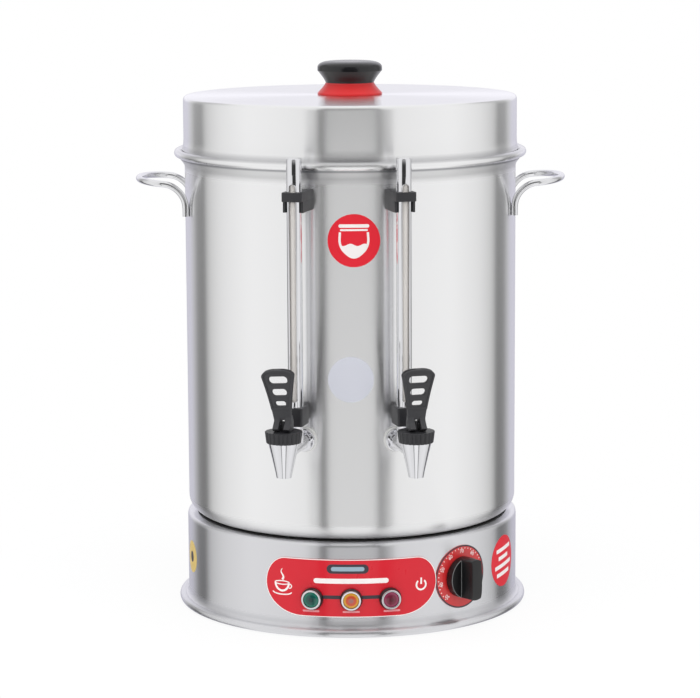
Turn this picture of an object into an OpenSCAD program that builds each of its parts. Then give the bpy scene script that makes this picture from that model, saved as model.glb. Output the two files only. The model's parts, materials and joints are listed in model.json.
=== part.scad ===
// Electric tea urn: a stainless vessel on a control base, with a deep lid, two side handles
// and two self-closing taps, each with a level gauge. Millimetres, +Z up, front towards -Y.
// The origin is the centre of the ring that the base stands on.

/* [Vessel] */
// Outside diameter of the vessel wall
vessel_d = 360; // [320:1:420]
// Sheet thickness of the vessel
vessel_t = 1; // [0.8:0.1:1.5]
// Height from the underside of the floor to the top of the rolled rim
vessel_h = 399; // [360:1:460]
// Outside radius of the corner between floor and wall
vessel_corner_r = 18; // [12:1:22]
// How far the rim flares out before it is rolled
flare_w = 7; // [6:0.5:10]
// Height over which the rim flares out
flare_h = 9; // [7:0.5:14]
// Radius of the rolled rim bead
rim_bead_r = 4.3; // [3.5:0.1:5]

/* [Lid] */
// Height of the lid from its skirt's edge to its flat top
lid_h = 70.9; // [50:0.1:95]
// Sheet thickness of the lid
lid_t = 0.9; // [0.7:0.1:1.5]
// How far the lid's skirt stands outside the vessel wall, seated in the flare
lid_step = 1; // [0.5:0.1:1.6]
// Outside radius of the lid's top edge
lid_edge_r = 4; // [2:0.5:8]
// Diameter of the knob's red collar where it meets the lid
collar_d = 70; // [60:1:80]
// Diameter of the knob's waist, where the collar meets the cap
waist_d = 52.4; // [40:0.2:56]
// Height of the red collar
collar_h = 13; // [9:0.5:18]
// Largest diameter of the knob's black cap
cap_d = 70; // [60:1:80]
// Height of the black cap
cap_h = 23.5; // [20:0.5:32]
// Diameter of the screw that holds the knob
knob_screw_d = 6; // [4:1:8]

/* [Base] */
// Height of the base, from the floor to the ledge that carries the vessel
base_h = 100; // [90:1:130]
// How far the base drum stands outside the vessel wall
base_step = 1.7; // [1:0.1:4]
// Sheet thickness of the base drum
base_t = 1; // [0.8:0.1:1.5]
// Radius of the base's top shoulder
shoulder_r = 4; // [3:0.5:8]
// Width of the ledge that the base's top turns inwards
ledge_w = 31.7; // [28:0.1:38]
// Radius of the cove above the rolled foot
cove_r = 8.5; // [7:0.5:10]
// Radius of the rolled foot bead
foot_bead_r = 4.3; // [3.5:0.1:5]
// Height of the foot bead above the floor
foot_bead_clear = 0.5; // [0.3:0.1:2]
// Thickness of the gasket between vessel and base
gasket_t = 1; // [0.6:0.1:3]
// How far the gasket's outer edge lies inside the vessel wall
gasket_inset = 4.5; // [3:0.1:7]
// Height of the gasket's outer lip
gasket_lip_h = 1.5; // [0.6:0.1:3]
// Height of the bottom plate's underside above the floor
plate_z = 14; // [10:0.5:18]
// Thickness of the bottom plate
plate_t = 1; // [0.8:0.1:2]
// Diameter of a rubber foot
rubber_foot_d = 26; // [18:1:36]
// Diameter of the circle that the rubber feet stand on
rubber_foot_pcd = 300; // [260:1:320]

/* [Handles] */
// Diameter of the handle rod
rod_d = 9; // [7:0.5:12]
// Distance between the two arms of a handle
handle_w = 86; // [76:1:110]
// Distance from the vessel wall to the middle of the grip
handle_reach = 50; // [42:1:65]
// Distance of the handle below the top of the rim
handle_drop = 34; // [28:1:60]
// Length of the legs that are welded to the wall, below the arms
handle_leg = 36; // [30:1:50]
// Bend radius between leg and arm
leg_bend_r = 16; // [10:0.5:17]
// Bend radius at the grip's corners
grip_bend_r = 33; // [12:1:33]

/* [Taps] */
// Angle of each tap from the front
tap_az = 15.2; // [14:0.1:24]
// Height of the tap's shank above the vessel floor's underside
tap_h = 109; // [90:1:130]
// Distance of the spout's axis from the vessel wall
tap_reach = 76; // [72:1:90]
// Diameter of the spout at its top
spout_d = 32; // [28:0.5:36]
// Diameter of the spout at its tip
spout_tip_d = 15.5; // [12.5:0.5:17]
// Height of the spout below the shank's axis
spout_drop = 25; // [22:1:34]
// Height of the spout above the shank's axis
spout_rise = 11; // [10:0.5:15]
// Diameter of the bonnet at its top
bonnet_d = 37; // [35:0.5:42]
// Height of the bonnet
bonnet_h = 12; // [11:0.5:16]
// Diameter of the shank
shank_d = 16; // [15:0.5:17]
// Diameter of the shank's wall flange
shank_flange_d = 24; // [22:0.5:27]
// Diameter of the water way
water_way_d = 9; // [7:0.5:10]
// Diameter of the valve stem
stem_d = 5; // [4.4:0.1:5.2]
// Lift of the valve at full pull
stem_lift = 4; // [2:0.5:5]
// Angle of a full pull on the lever
lever_pull = 50; // [35:1:55]
// Height of the lever above its pin
lever_h = 58.5; // [48:0.5:70]
// Width of the lever at its crown
lever_top_w = 34; // [28:0.5:40]
// Width of the lever at its foot
lever_foot_w = 17.5; // [17:0.5:24]
// Thickness of the lever's blade
lever_t = 7; // [5:0.5:8]
// Angle that the lever leans outwards at rest
lever_lean = 9; // [4:1:14]
// Diameter of the lever's pin
pin_d = 2.4; // [2:0.1:2.6]
// Height of the lever's pin above the bonnet
pin_rise = 7; // [6:0.5:9]

/* [Gauges] */
// Distance of the gauge's axis from the vessel wall
gauge_reach = 33; // [30:0.5:38]
// Outside diameter of the gauge's guard tube
guard_d = 15.8; // [14.5:0.1:16]
// Wall of the guard tube
guard_t = 1; // [0.8:0.1:1.2]
// Outside diameter of the gauge glass
glass_d = 11; // [9.5:0.1:11.6]
// Wall of the gauge glass
glass_t = 1.5; // [1:0.1:2]
// How far the guard stands above the top of the rim
guard_over_rim = 4; // [0:1:20]
// Width of the sight slot in the guard
slot_w = 7.5; // [5:0.5:9]
// Length of the closed tube above the sight slot
slot_top = 24; // [16:1:40]
// Height of the sight slot's lower end above the shank's axis
slot_foot = 46; // [44:1:70]
// Width of the gauge brackets
bracket_w = 21.5; // [18.5:0.5:24]
// Height of the upper bracket
upper_bracket_h = 21; // [16:0.5:30]
// Distance of the upper bracket's top below the top of the rim
upper_bracket_drop = 28; // [28:1:60]
// Height of the bar that crosses the front of the upper bracket
bracket_bar_h = 9.5; // [5:0.5:12]
// Height of the lower bracket
lower_bracket_h = 19; // [15:0.5:21]
// Height of the lower bracket above the shank's axis
lower_bracket_rise = 21; // [19:0.5:23]

/* [Controls] */
// Width of the red panel, measured round the base
panel_w = 187; // [170:1:196]
// Height of the red panel
panel_h = 62; // [56:1:66]
// Height of the panel's middle above the floor
panel_z = 52; // [50:0.5:56]
// Thickness of the panel
panel_t = 0.8; // [0.5:0.1:1.5]
// Angle between one pilot lamp and the next
lamp_pitch = 12.9; // [10:0.1:15]
// Height of the lamps above the floor
lamp_z = 40.5; // [38:0.5:50]
// Diameter of a lamp's chrome ring
lamp_ring_d = 21; // [19:0.5:24]
// Diameter of a lamp's lens
lamp_lens_d = 15; // [12:0.5:16]
// How far a lamp's ring stands proud of the panel
lamp_proud = 7; // [5:0.5:10]
// Diameter of a lamp's barrel
lamp_barrel_d = 12; // [10:0.5:14]
// Angle of the thermostat from the front
dial_az = 40; // [38:0.5:60]
// Height of the thermostat above the floor
dial_z = 54.3; // [50:0.1:60]
// Diameter of the scale plate
dial_d = 66; // [58:1:70]
// Thickness of the scale plate
dial_t = 0.8; // [0.5:0.1:1.5]
// Diameter of the thermostat knob
knob_d = 48; // [44:0.5:52]
// Height of the thermostat knob
knob_h = 23; // [19:0.5:28]
// Width of the knob's finger bar
knob_bar_w = 14; // [10:0.5:18]
// Diameter of the thermostat's shaft
shaft_d = 6; // [5:0.5:6.5]
// Width and height of the thermostat's case
thermostat_w = 36; // [33:1:42]
// Depth of the thermostat's case
thermostat_deep = 26; // [20:1:34]
// Distance between the thermostat's two screws
thermostat_screw_gap = 28; // [26:0.5:30]

/* [Heater] */
// Diameter of the heat spreader under the vessel floor
heater_d = 240; // [220:1:260]
// Thickness of the heat spreader
heater_t = 6; // [4:0.5:8]
// Diameter of the heating element's tube
element_d = 8; // [6.5:0.5:9]
// Diameter of the heating element's ring
element_ring_d = 190; // [170:1:206]
// How deep the element beds into the spreader
element_bed = 1.5; // [1:0.1:2]
// Width of the clamp bar
clamp_w = 24; // [18:1:30]
// Thickness of the clamp bar
clamp_t = 2; // [1.5:0.1:4]
// Diameter of the thermostat's sensing bulb
bulb_d = 6.2; // [5:0.1:6.6]
// Length of the sensing bulb
bulb_l = 80; // [60:1:90]
// Diameter of the limit thermostat
limit_d = 16; // [14:0.5:20]

/* [Supply] */
// Height of the cable gland above the floor
gland_z = 38; // [34:0.5:60]
// Bore of the cable gland
gland_bore_d = 8; // [6:0.5:9]
// Diameter of the gland's barrel
gland_barrel_d = 16; // [14:0.5:18]
// Size of the gland's hexagon, across its corners
gland_hex_d = 24; // [21:0.5:26]

/* [Hidden] */
$fn = 64;

// Clearances: fixed fits, running fits, and the space between bodies that move apart
fit = 0.05;
run = 0.05;
apart = 0.3;

// Stock fasteners: radius of shank and of head, head height, and nut sizes
stud_r = 3;
stud_l = 12;
heater_stud_spare = 3;
nut_r = 5.8;
nut_h = 5;
small_r = 2;
small_head_r = 3.5;
small_head_h = 2.2;
bracket_stud_l = 14;
grub_r = 1.6;
grub_l = 6;

// Main radii
vessel_r = vessel_d / 2;
vessel_in_r = vessel_r - vessel_t;
base_r = vessel_r + base_step;
base_in_r = base_r - base_t;
lid_r = vessel_r + lid_step;

// Main heights
floor_z = base_h + gasket_t;
wall_z = floor_z + vessel_corner_r;
rim_z = floor_z + vessel_h;
rim_bead_z = rim_z - rim_bead_r;
flare_z = rim_bead_z - rim_bead_r + vessel_t / 2 - flare_h;
flare_inner_z = flare_z + vessel_t * tan(atan2(flare_w, flare_h) / 2);
lid_seat_z = flare_inner_z + (lid_step + vessel_t) * flare_h / flare_w;
lid_z = lid_seat_z + apart;
lid_top_z = lid_z + lid_h;
tap_z = floor_z + tap_h;

// Base foot: the cove turns through this angle and lands on the bead
cove_sweep = 70;
foot_bead_z = foot_bead_clear + foot_bead_r;
foot_r = base_r + cove_r * (1 - cos(cove_sweep));
cove_z = foot_bead_z + foot_bead_r - base_t / 2 + cove_r * sin(cove_sweep);

// Ledge, gasket and the studs that tie the vessel to the base
ledge_in_r = base_r - ledge_w;
gasket_r = vessel_r - gasket_inset;
gasket_clear = gasket_lip_h + apart;
corner_in = sqrt(pow(vessel_corner_r, 2) - pow(vessel_corner_r - gasket_clear, 2));
gasket_lip_in_r = vessel_r - vessel_corner_r + corner_in;
tie_stud_r = (ledge_in_r + vessel_r - vessel_corner_r) / 2;
tie_az = [45, 135, 225, 315];

// Bottom plate: the tabs in the drum that it hangs from, and its screws
plate_top_z = plate_z + plate_t;
plate_r = base_in_r - apart;
tab_w = 16;
tab_l = 14;
tab_t = 3;
tab_hole_r = base_in_r - tab_l / 2;
tab_az = [22.5, 112.5, 202.5, 292.5];
foot_az = [0, 90, 180, 270];
foot_stem_r = 4;
foot_head_r = 6;
foot_head_h = 3;
vent_count = 12;
vent_w = 5;
vent_l = 36;
vent_r = 70;

// Taps and gauges, as radii from the urn's axis
spout_axis_r = vessel_r + tap_reach;
gauge_r = vessel_r + gauge_reach;
spout_top_z = tap_z + spout_rise;
spout_tip_z = tap_z - spout_drop;
bonnet_top_z = spout_top_z + bonnet_h;
pin_z = bonnet_top_z + pin_rise;
chamber_r = 8;
seat_below = 2;
seat_z = tap_z - water_way_d / 2 - seat_below;
outlet_r = water_way_d / 2;
neck_r = 11.5;
neck_h = 6;
bonnet_roof = 3.5;
bonnet_roof_z = bonnet_top_z - bonnet_roof;
bonnet_taper = 1.5;
grip_count = 20;
grip_r = 1.1;
boss_wall = 1;
boss_r = shank_d / 2 + boss_wall;
boss_l = spout_d / 2 + boss_wall;
boss_face_r = spout_axis_r - boss_l;
spigot_step = 1.5;
spigot_r = shank_d / 2 - spigot_step;
spigot_short = 0.5;
spigot_end_r = spout_axis_r - chamber_r - spigot_short;
shank_inside = 20;
shank_in_r = vessel_in_r - shank_inside;
washer_t = 3;
washer_edge = 1;
washer_r = shank_flange_d / 2 + washer_edge;
shank_flange_t = 4;
shank_nut_r = 13.9;
shank_nut_h = 7;

// Valve: cup, stem and spring
cup_clear = 1.2;
cup_r = chamber_r - cup_clear;
cup_rise = 4;
cup_top_z = tap_z + cup_rise;
cup_skirt_h = 3;
stem_sink = 3;
stem_foot_z = tap_z - stem_sink;
stem_top = 3;
spring_r = 5;
spring_wire_r = 0.6;
spring_turns = 6;
spring_foot_z = cup_top_z + fit;
spring_head_z = bonnet_roof_z - fit;
rings_a_turn = 8;
wire_sides = 6;

// Lever: the foot is a cam that lifts the stem at a steady rate, the involute of a circle
cam_rate = stem_lift / (lever_pull * PI / 180);
cam_h = pin_rise - apart;
cam_back = 7;
fork_w = stem_d + 2 * apart;
fork_head = 2;
fork_top = stem_top + fork_head;
cam_steps = 10;
side_steps = 8;
crown_h = 7;
lever_slots = [[17.5, 8, 11.5], [13.5, 7.5, 24.5], [10, 5.5, 37]];

// Gauge: riser on the shank, shoulder for the guard, socket for the glass
guard_r = guard_d / 2;
riser_r = guard_r - guard_t - fit;
shoulder_z = tap_z + spout_rise;
shoulder_h = 4;
guard_z = shoulder_z + shoulder_h + fit;
guard_top_z = rim_z + guard_over_rim;
socket_rise = 5;
socket_z = guard_z + socket_rise;
socket_h = 8;
riser_bore_r = 3;
glass_r = glass_d / 2;
glass_top_gap = 6;
vent_hole_r = 1;
lower_bracket_z = tap_z + lower_bracket_rise;
upper_bracket_z = rim_z - upper_bracket_drop - upper_bracket_h;
bracket_lip = 2.2;
cheek_lip = 4;
grub_out = 8;
grub_at_r = vessel_r + grub_out;

// Controls
panel_r = base_r + fit;
panel_face_r = panel_r + panel_t;
panel_top_corner = [23, 28];
panel_low_corner = [42, 34];
corner_steps = 8;
lamp_flange_edge = 1.4;
lamp_flange_r = lamp_ring_d / 2 + lamp_flange_edge;
lamp_ring_h = 3;
lamp_flange_h = lamp_proud - lamp_ring_h;
lamp_barrel_r = lamp_barrel_d / 2;
lamp_barrel_l = 16;
lamp_nut_wall = 4;
lamp_nut_r = lamp_barrel_r + lamp_nut_wall;
lamp_nut_h = 4;
lens_r = lamp_lens_d / 2;
lens_well = 2;
lens_dome = 1.5;
dial_r = base_r + fit;
dial_face_r = dial_r + dial_t;
knob_gap = 0.6;
knob_back_r = dial_face_r + knob_gap;
knob_wall = 3;
knob_skirt_h = 8;
knob_recess = 5;
knob_hub_wall = 4;
knob_hub_r = shaft_d / 2 + knob_hub_wall;
knob_bore_l = 14;
thermostat_face_r = flat_seat(base_in_r, thermostat_w / 2);
bushing_wall = 2;
bushing_r = shaft_d / 2 + bushing_wall;
bushing_out = 2;
shaft_in = 12;

// Heater stack under the vessel floor
heater_z = floor_z - heater_t;
element_r = element_d / 2;
element_z = heater_z + element_bed - element_r;
element_gap = 14;
clamp_top_z = element_z - element_r - fit;
clamp_over = 4;
clamp_l = element_ring_d + element_d + 2 * clamp_over;
cold_end_l = 18;
cold_pin_l = 8;
cold_pin_r = 1.6;
bulb_r = bulb_d / 2;
bulb_share = 0.21;
bulb_x = even(bulb_share * heater_d);
bulb_z = heater_z - bulb_r - fit;
capillary_r = 1;
capillary_bend = 5;
capillary_run = 20;
capillary_clear = 0.3;
limit_y = 45;
limit_h = 10;
limit_ear = 24;
block_size = [50, 24, 20];
block_y = 120;
block_bores = 4;

// Gland
gland_nut_h = 5;
gland_flange_h = 6;
gland_dome_h = 10;
gland_inside = 14;

// Distance from the axis at which a flat piece of this half width touches a hollow drum
function flat_seat(drum_r, half_w) = sqrt(pow(drum_r, 2) - pow(half_w, 2)) - fit;

// Points on a quarter of an ellipse, from angle a0 over 90 degrees
function quarter(c, radii, a0) =
    [for (i = [0 : corner_steps]) let (a = a0 + 90 * i / corner_steps)
        [c[0] + radii[0] * cos(a), c[1] + radii[1] * sin(a)]];

function unit(v) = v / norm(v);

// A length rounded to a hundredth, so that bends and straight runs meet exactly
function even(x) = round(x * 100) / 100;

// Turns its children from the front to an angle round the urn
module at_az(az) {
    rotate([0, 0, az]) children();
}

// Lays its children on a radial line: their Z points outwards and their Y up
module out_from(r, z) {
    translate([0, -r, z]) rotate([90, 0, 0]) children();
}

// Part of a ring of sheet, seen in section
module ring_sector(inner_r, t, a0, a1) {
    reach = 3 * (inner_r + t);
    intersection() {
        difference() {
            circle(inner_r + t);
            circle(inner_r);
        }
        polygon(concat([[0, 0]], [for (i = [0 : 4]) let (a = a0 + (a1 - a0) * i / 4)
            [reach * cos(a), reach * sin(a)]]));
    }
}

// Section of an edge rolled into a bead, left open by a narrow mouth at the given angle
module rolled_bead(r, t, mouth_az) {
    mouth = 1;
    difference() {
        circle(r);
        circle(r - t);
        rotate(mouth_az) translate([0, -mouth / 2]) square([2 * r, mouth]);
    }
}

// Rod along a list of points, with a bend radius at each inner point
module bent_rod(points, bends, r) {
    last = len(points) - 1;
    turn = [for (i = [1 : last - 1])
        acos(unit(points[i] - points[i - 1]) * unit(points[i + 1] - points[i]))];
    trim = [for (i = [0 : last]) i == 0 || i == last ? 0 : bends[i - 1] * tan(turn[i - 1] / 2)];
    for (i = [0 : last - 1]) {
        along = unit(points[i + 1] - points[i]);
        span = norm(points[i + 1] - points[i]) - trim[i] - trim[i + 1];
        translate(points[i] + along * trim[i]) aim(along) cylinder(r = r, h = span);
    }
    for (i = [1 : last - 1]) {
        before = unit(points[i] - points[i - 1]);
        after = unit(points[i + 1] - points[i]);
        side = unit(after - before * (before * after));
        axis = cross(before, side);
        middle = points[i] - before * trim[i] + side * bends[i - 1];
        multmatrix([[-side[0], before[0], axis[0], middle[0]],
                    [-side[1], before[1], axis[1], middle[1]],
                    [-side[2], before[2], axis[2], middle[2]],
                    [0, 0, 0, 1]])
            rotate_extrude(angle = turn[i - 1])
            translate([bends[i - 1], 0])
            circle(r);
    }
}

// Points its children's Z along a direction
module aim(v) {
    rotate([0, acos(v[2] / norm(v)), atan2(v[1], v[0])]) children();
}

// Pressed floor of the vessel: its turned-up edge is welded to the wall
module vessel_floor() {
    sunk = vessel_t / 2;
    heater_stud_l = floor_z - clamp_top_z + clamp_t + nut_h + heater_stud_spare;
    color("silver") union() {
        rotate_extrude() {
            translate([0, floor_z]) square([vessel_r - vessel_corner_r, vessel_t]);
            translate([vessel_r - vessel_corner_r, wall_z])
                ring_sector(vessel_corner_r - vessel_t, vessel_t, -90, 0);
        }
        translate([0, 0, floor_z - heater_stud_l]) cylinder(r = stud_r, h = heater_stud_l + sunk);
        for (az = tie_az)
            at_az(az) translate([0, -tie_stud_r, floor_z - stud_l])
                cylinder(r = stud_r, h = stud_l + sunk);
    }
}

// Rolled wall of the vessel, with the studs of the gauge brackets
module vessel_wall() {
    sunk = vessel_t / 2;
    color("silver") difference() {
        union() {
            translate([0, 0, wall_z + fit]) rotate_extrude()
                translate([vessel_in_r, 0]) square([vessel_t, flare_z - wall_z - fit]);
            for (side = [-1, 1], z = [bracket_mid(0), bracket_mid(1)])
                at_az(side * tap_az) out_from(vessel_r - sunk, z)
                    cylinder(r = small_r, h = bracket_stud_l + sunk);
        }
        for (side = [-1, 1])
            at_az(side * tap_az) out_from(shank_in_r, tap_z)
                cylinder(r = shank_d / 2 + apart, h = vessel_r - shank_in_r + washer_t);
    }
}

// Flared rim with its rolled edge, welded on top of the wall
module vessel_rim() {
    lean = unit([flare_w, flare_h]);
    square_in = [-lean[1], lean[0]] * vessel_t;
    flare_end = [vessel_r + flare_w, flare_z + flare_h];
    foot = flare_z + fit;
    color("silver") rotate_extrude() {
        polygon([[vessel_in_r, foot], [vessel_r + flare_w * fit / flare_h, foot], flare_end,
            flare_end + square_in, [vessel_in_r, flare_inner_z]]);
        translate([vessel_r + flare_w, rim_bead_z]) rolled_bead(rim_bead_r, vessel_t, 215);
    }
}

// Height of a bracket's middle: 0 is the lower one and 1 the upper one
function bracket_mid(which) = which == 0
    ? lower_bracket_z + lower_bracket_h / 2
    : upper_bracket_z + upper_bracket_h / 2;

module seat_gasket() {
    color("#1a1a1a") difference() {
        rotate_extrude() polygon([[ledge_in_r, base_h], [gasket_r, base_h],
            [gasket_r, floor_z + gasket_lip_h], [gasket_lip_in_r, floor_z + gasket_lip_h],
            [gasket_lip_in_r, floor_z], [ledge_in_r, floor_z]]);
        for (az = tie_az)
            at_az(az) translate([0, -tie_stud_r, base_h - 1])
                cylinder(r = stud_r + apart, h = gasket_t + 2);
    }
}

module base_section() {
    shoulder_z0 = base_h - shoulder_r;
    translate([ledge_in_r, base_h - base_t]) square([ledge_w - shoulder_r, base_t]);
    translate([base_r - shoulder_r, shoulder_z0])
        ring_sector(shoulder_r - base_t, base_t, 0, 90);
    translate([base_in_r, cove_z]) square([base_t, shoulder_z0 - cove_z]);
    translate([base_r + cove_r, cove_z]) ring_sector(cove_r, base_t, 180, 180 + cove_sweep);
    translate([foot_r, foot_bead_z]) rolled_bead(foot_bead_r, base_t, 150);
}

module base_housing() {
    wall_cut = base_t + 4;
    color("silver") difference() {
        union() {
            rotate_extrude() base_section();
            for (az = tab_az)
                at_az(az) translate([-tab_w / 2, -base_r + base_t / 2, plate_top_z])
                    cube([tab_w, tab_l, tab_t]);
        }
        for (az = tab_az)
            at_az(az) translate([0, -tab_hole_r, plate_z])
                cylinder(r = small_r + fit, h = plate_t + tab_t + 1);
        for (az = tie_az)
            at_az(az) translate([0, -tie_stud_r, base_h - base_t - 1])
                cylinder(r = stud_r + apart, h = base_t + 2);
        for (i = [-1 : 1])
            at_az(i * lamp_pitch) out_from(base_in_r - 2, lamp_z)
                cylinder(r = lamp_barrel_r + fit, h = wall_cut);
        at_az(dial_az) {
            out_from(base_in_r - 2, dial_z) cylinder(r = bushing_r + fit, h = wall_cut);
            for (side = [-1, 1])
                out_from(base_in_r - 2, dial_z + side * thermostat_screw_gap / 2)
                    cylinder(r = small_r + fit, h = wall_cut);
        }
        at_az(180) out_from(base_in_r - 2, gland_z)
            cylinder(r = gland_barrel_d / 2 + fit, h = wall_cut);
    }
}

module base_plate() {
    color("silver") translate([0, 0, plate_z]) linear_extrude(plate_t) difference() {
        circle(plate_r);
        for (az = tab_az)
            rotate(az) translate([0, -tab_hole_r]) circle(small_r + fit);
        for (az = foot_az)
            rotate(az) translate([0, -rubber_foot_pcd / 2]) circle(foot_stem_r + fit);
        for (i = [0 : vent_count - 1])
            rotate((i + 0.5) * 360 / vent_count) translate([-vent_w / 2, vent_r])
                square([vent_w, vent_l]);
    }
}

module base_plate_screws() {
    color("gray") for (az = tab_az)
        at_az(az) translate([0, -tab_hole_r, plate_z - fit]) {
            cylinder(r = small_r, h = fit + plate_t + tab_t + 1);
            translate([0, 0, -small_head_h]) cylinder(r = small_head_r, h = small_head_h);
        }
}

module rubber_feet() {
    taper = 2;
    color("#1a1a1a") for (az = foot_az)
        at_az(az) translate([0, -rubber_foot_pcd / 2, 0]) {
            cylinder(r1 = rubber_foot_d / 2, r2 = rubber_foot_d / 2 - taper, h = plate_z);
            translate([0, 0, plate_z - 1]) cylinder(r = foot_stem_r, h = plate_t + 2);
            translate([0, 0, plate_top_z]) cylinder(r = foot_head_r, h = foot_head_h);
        }
}

// One handle: a bent rod whose legs are welded flat to the wall, side 1 on the right
module handle(side) {
    weld_bite = 0.6;
    rod_r = rod_d / 2;
    z = rim_z - handle_drop;
    leg_r = vessel_r + rod_r - weld_bite;
    half = handle_w / 2;
    leg_x = even(sqrt(pow(leg_r, 2) - pow(half, 2)));
    out_x = vessel_r + handle_reach;
    color("gainsboro") mirror([side < 0 ? 1 : 0, 0, 0]) difference() {
        bent_rod([[leg_x, -half, z - handle_leg], [leg_x, -half, z], [out_x, -half, z],
            [out_x, half, z], [leg_x, half, z], [leg_x, half, z - handle_leg]],
            [leg_bend_r, grip_bend_r, grip_bend_r, leg_bend_r], rod_r);
        translate([0, 0, z - handle_leg - 1]) cylinder(r = vessel_r + fit, h = handle_leg + rod_d);
    }
}

module left_handle() { handle(-1); }
module right_handle() { handle(1); }

// Place on the base's front, in front view, of a point that lies so far round it
function wrap(p) = [base_r * sin(p[0] / base_r * 180 / PI), p[1]];

// A quarter of the panel's outline, mirrored to the left for side -1
function panel_corner(radii, a0, edge_z) = let (up = a0 == 0 ? -1 : 1)
    quarter([panel_w / 2 - radii[0], edge_z + up * radii[1]], radii, a0);
function flip(points) = [for (i = [len(points) - 1 : -1 : 0]) [-points[i][0], points[i][1]]];

module control_panel_plate() {
    right = concat(panel_corner(panel_low_corner, -90, panel_z - panel_h / 2),
        panel_corner(panel_top_corner, 0, panel_z + panel_h / 2));
    outline = [for (p = concat(right, flip(right))) wrap(p)];
    color("crimson") difference() {
        intersection() {
            difference() {
                cylinder(r = panel_face_r, h = base_h);
                translate([0, 0, -1]) cylinder(r = panel_r, h = base_h + 2);
            }
            rotate([90, 0, 0]) linear_extrude(panel_face_r + 1) polygon(outline);
        }
        for (i = [-1 : 1])
            at_az(i * lamp_pitch) out_from(base_in_r, lamp_z)
                cylinder(r = lamp_barrel_r + fit, h = 4 * base_t + panel_t);
    }
}

// Puts its children on each lamp's axis, with Z pointing outwards from the panel's face
module each_lamp(which = [-1 : 1]) {
    for (i = which) at_az(i * lamp_pitch) out_from(panel_face_r + fit, lamp_z) children();
}

module lamp_bezels() {
    color("#1a1a1a") each_lamp() difference() {
        union() {
            cylinder(r = lamp_flange_r, h = lamp_flange_h);
            translate([0, 0, -lamp_barrel_l]) cylinder(r = lamp_barrel_r, h = lamp_barrel_l + 1);
        }
        translate([0, 0, lens_well]) cylinder(r = lens_r + fit, h = lamp_flange_h);
    }
}

module lamp_rings() {
    edge = 1.2;
    color("gainsboro") each_lamp() translate([0, 0, lamp_flange_h + fit]) difference() {
        union() {
            cylinder(r = lamp_ring_d / 2, h = lamp_proud - lamp_flange_h - edge);
            translate([0, 0, lamp_proud - lamp_flange_h - edge])
                cylinder(r1 = lamp_ring_d / 2, r2 = lamp_ring_d / 2 - edge, h = edge);
        }
        translate([0, 0, -1]) cylinder(r = lens_r + fit, h = lamp_proud);
    }
}

// One lens: a plug with a domed face, seated in its bezel
module lamp_lens(which, tint) {
    body_h = lamp_proud - lens_well - lens_dome;
    color(tint) each_lamp([which]) translate([0, 0, lens_well + fit]) {
        cylinder(r = lens_r, h = body_h);
        translate([0, 0, body_h]) cylinder(r1 = lens_r, r2 = lens_r / 2, h = lens_dome);
    }
}

module lamp_lens_green() { lamp_lens(-1, "seagreen"); }
module lamp_lens_amber() { lamp_lens(0, "goldenrod"); }
module lamp_lens_red() { lamp_lens(1, "firebrick"); }

module lamp_nuts() {
    color("#1a1a1a") for (i = [-1 : 1])
        at_az(i * lamp_pitch) out_from(flat_seat(base_in_r, lamp_nut_r) - lamp_nut_h, lamp_z)
            difference() {
                cylinder(r = lamp_nut_r, h = lamp_nut_h, $fn = 6);
                translate([0, 0, -1]) cylinder(r = lamp_barrel_r + fit, h = lamp_nut_h + 2);
            }
}

module thermostat_dial() {
    color("crimson") difference() {
        intersection() {
            difference() {
                cylinder(r = dial_face_r, h = base_h);
                translate([0, 0, -1]) cylinder(r = dial_r, h = base_h + 2);
            }
            at_az(dial_az) out_from(base_in_r / 2, dial_z) cylinder(r = dial_d / 2, h = base_r);
        }
        at_az(dial_az) {
            out_from(base_in_r, dial_z) cylinder(r = bushing_r + fit, h = 4 * base_t + dial_t);
            for (side = [-1, 1])
                out_from(base_in_r, dial_z + side * thermostat_screw_gap / 2)
                    cylinder(r = small_r + fit, h = 4 * base_t + dial_t);
        }
    }
}

module thermostat_body() {
    bushing_l = dial_face_r + bushing_out - knob_gap - thermostat_face_r;
    hole_l = 9;
    color("#6b6257") at_az(dial_az) out_from(thermostat_face_r, dial_z) difference() {
        union() {
            translate([-thermostat_w / 2, -thermostat_w / 2, -thermostat_deep])
                cube([thermostat_w, thermostat_w, thermostat_deep]);
            cylinder(r = bushing_r, h = bushing_l);
        }
        translate([0, 0, -shaft_in - apart])
            cylinder(r = shaft_d / 2 + run, h = shaft_in + apart + bushing_l + 1);
        for (side = [-1, 1])
            translate([0, side * thermostat_screw_gap / 2, -hole_l])
                cylinder(r = small_r + fit, h = hole_l + 1);
    }
}

module thermostat_screws() {
    inside = 7;
    color("gray") at_az(dial_az) for (side = [-1, 1])
        out_from(dial_face_r + fit, dial_z + side * thermostat_screw_gap / 2) {
            cylinder(r = small_head_r, h = small_head_h);
            translate([0, 0, thermostat_face_r - dial_face_r - inside])
                cylinder(r = small_r, h = dial_face_r - thermostat_face_r + inside + 1);
        }
}

// Small screws of the base: they hold the bottom plate and the thermostat
module base_screws() {
    base_plate_screws();
    thermostat_screws();
}

module thermostat_shaft() {
    color("gray") at_az(dial_az) out_from(thermostat_face_r - shaft_in, dial_z)
        cylinder(r = shaft_d / 2, h = knob_back_r + knob_bore_l - thermostat_face_r + shaft_in);
}

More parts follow.
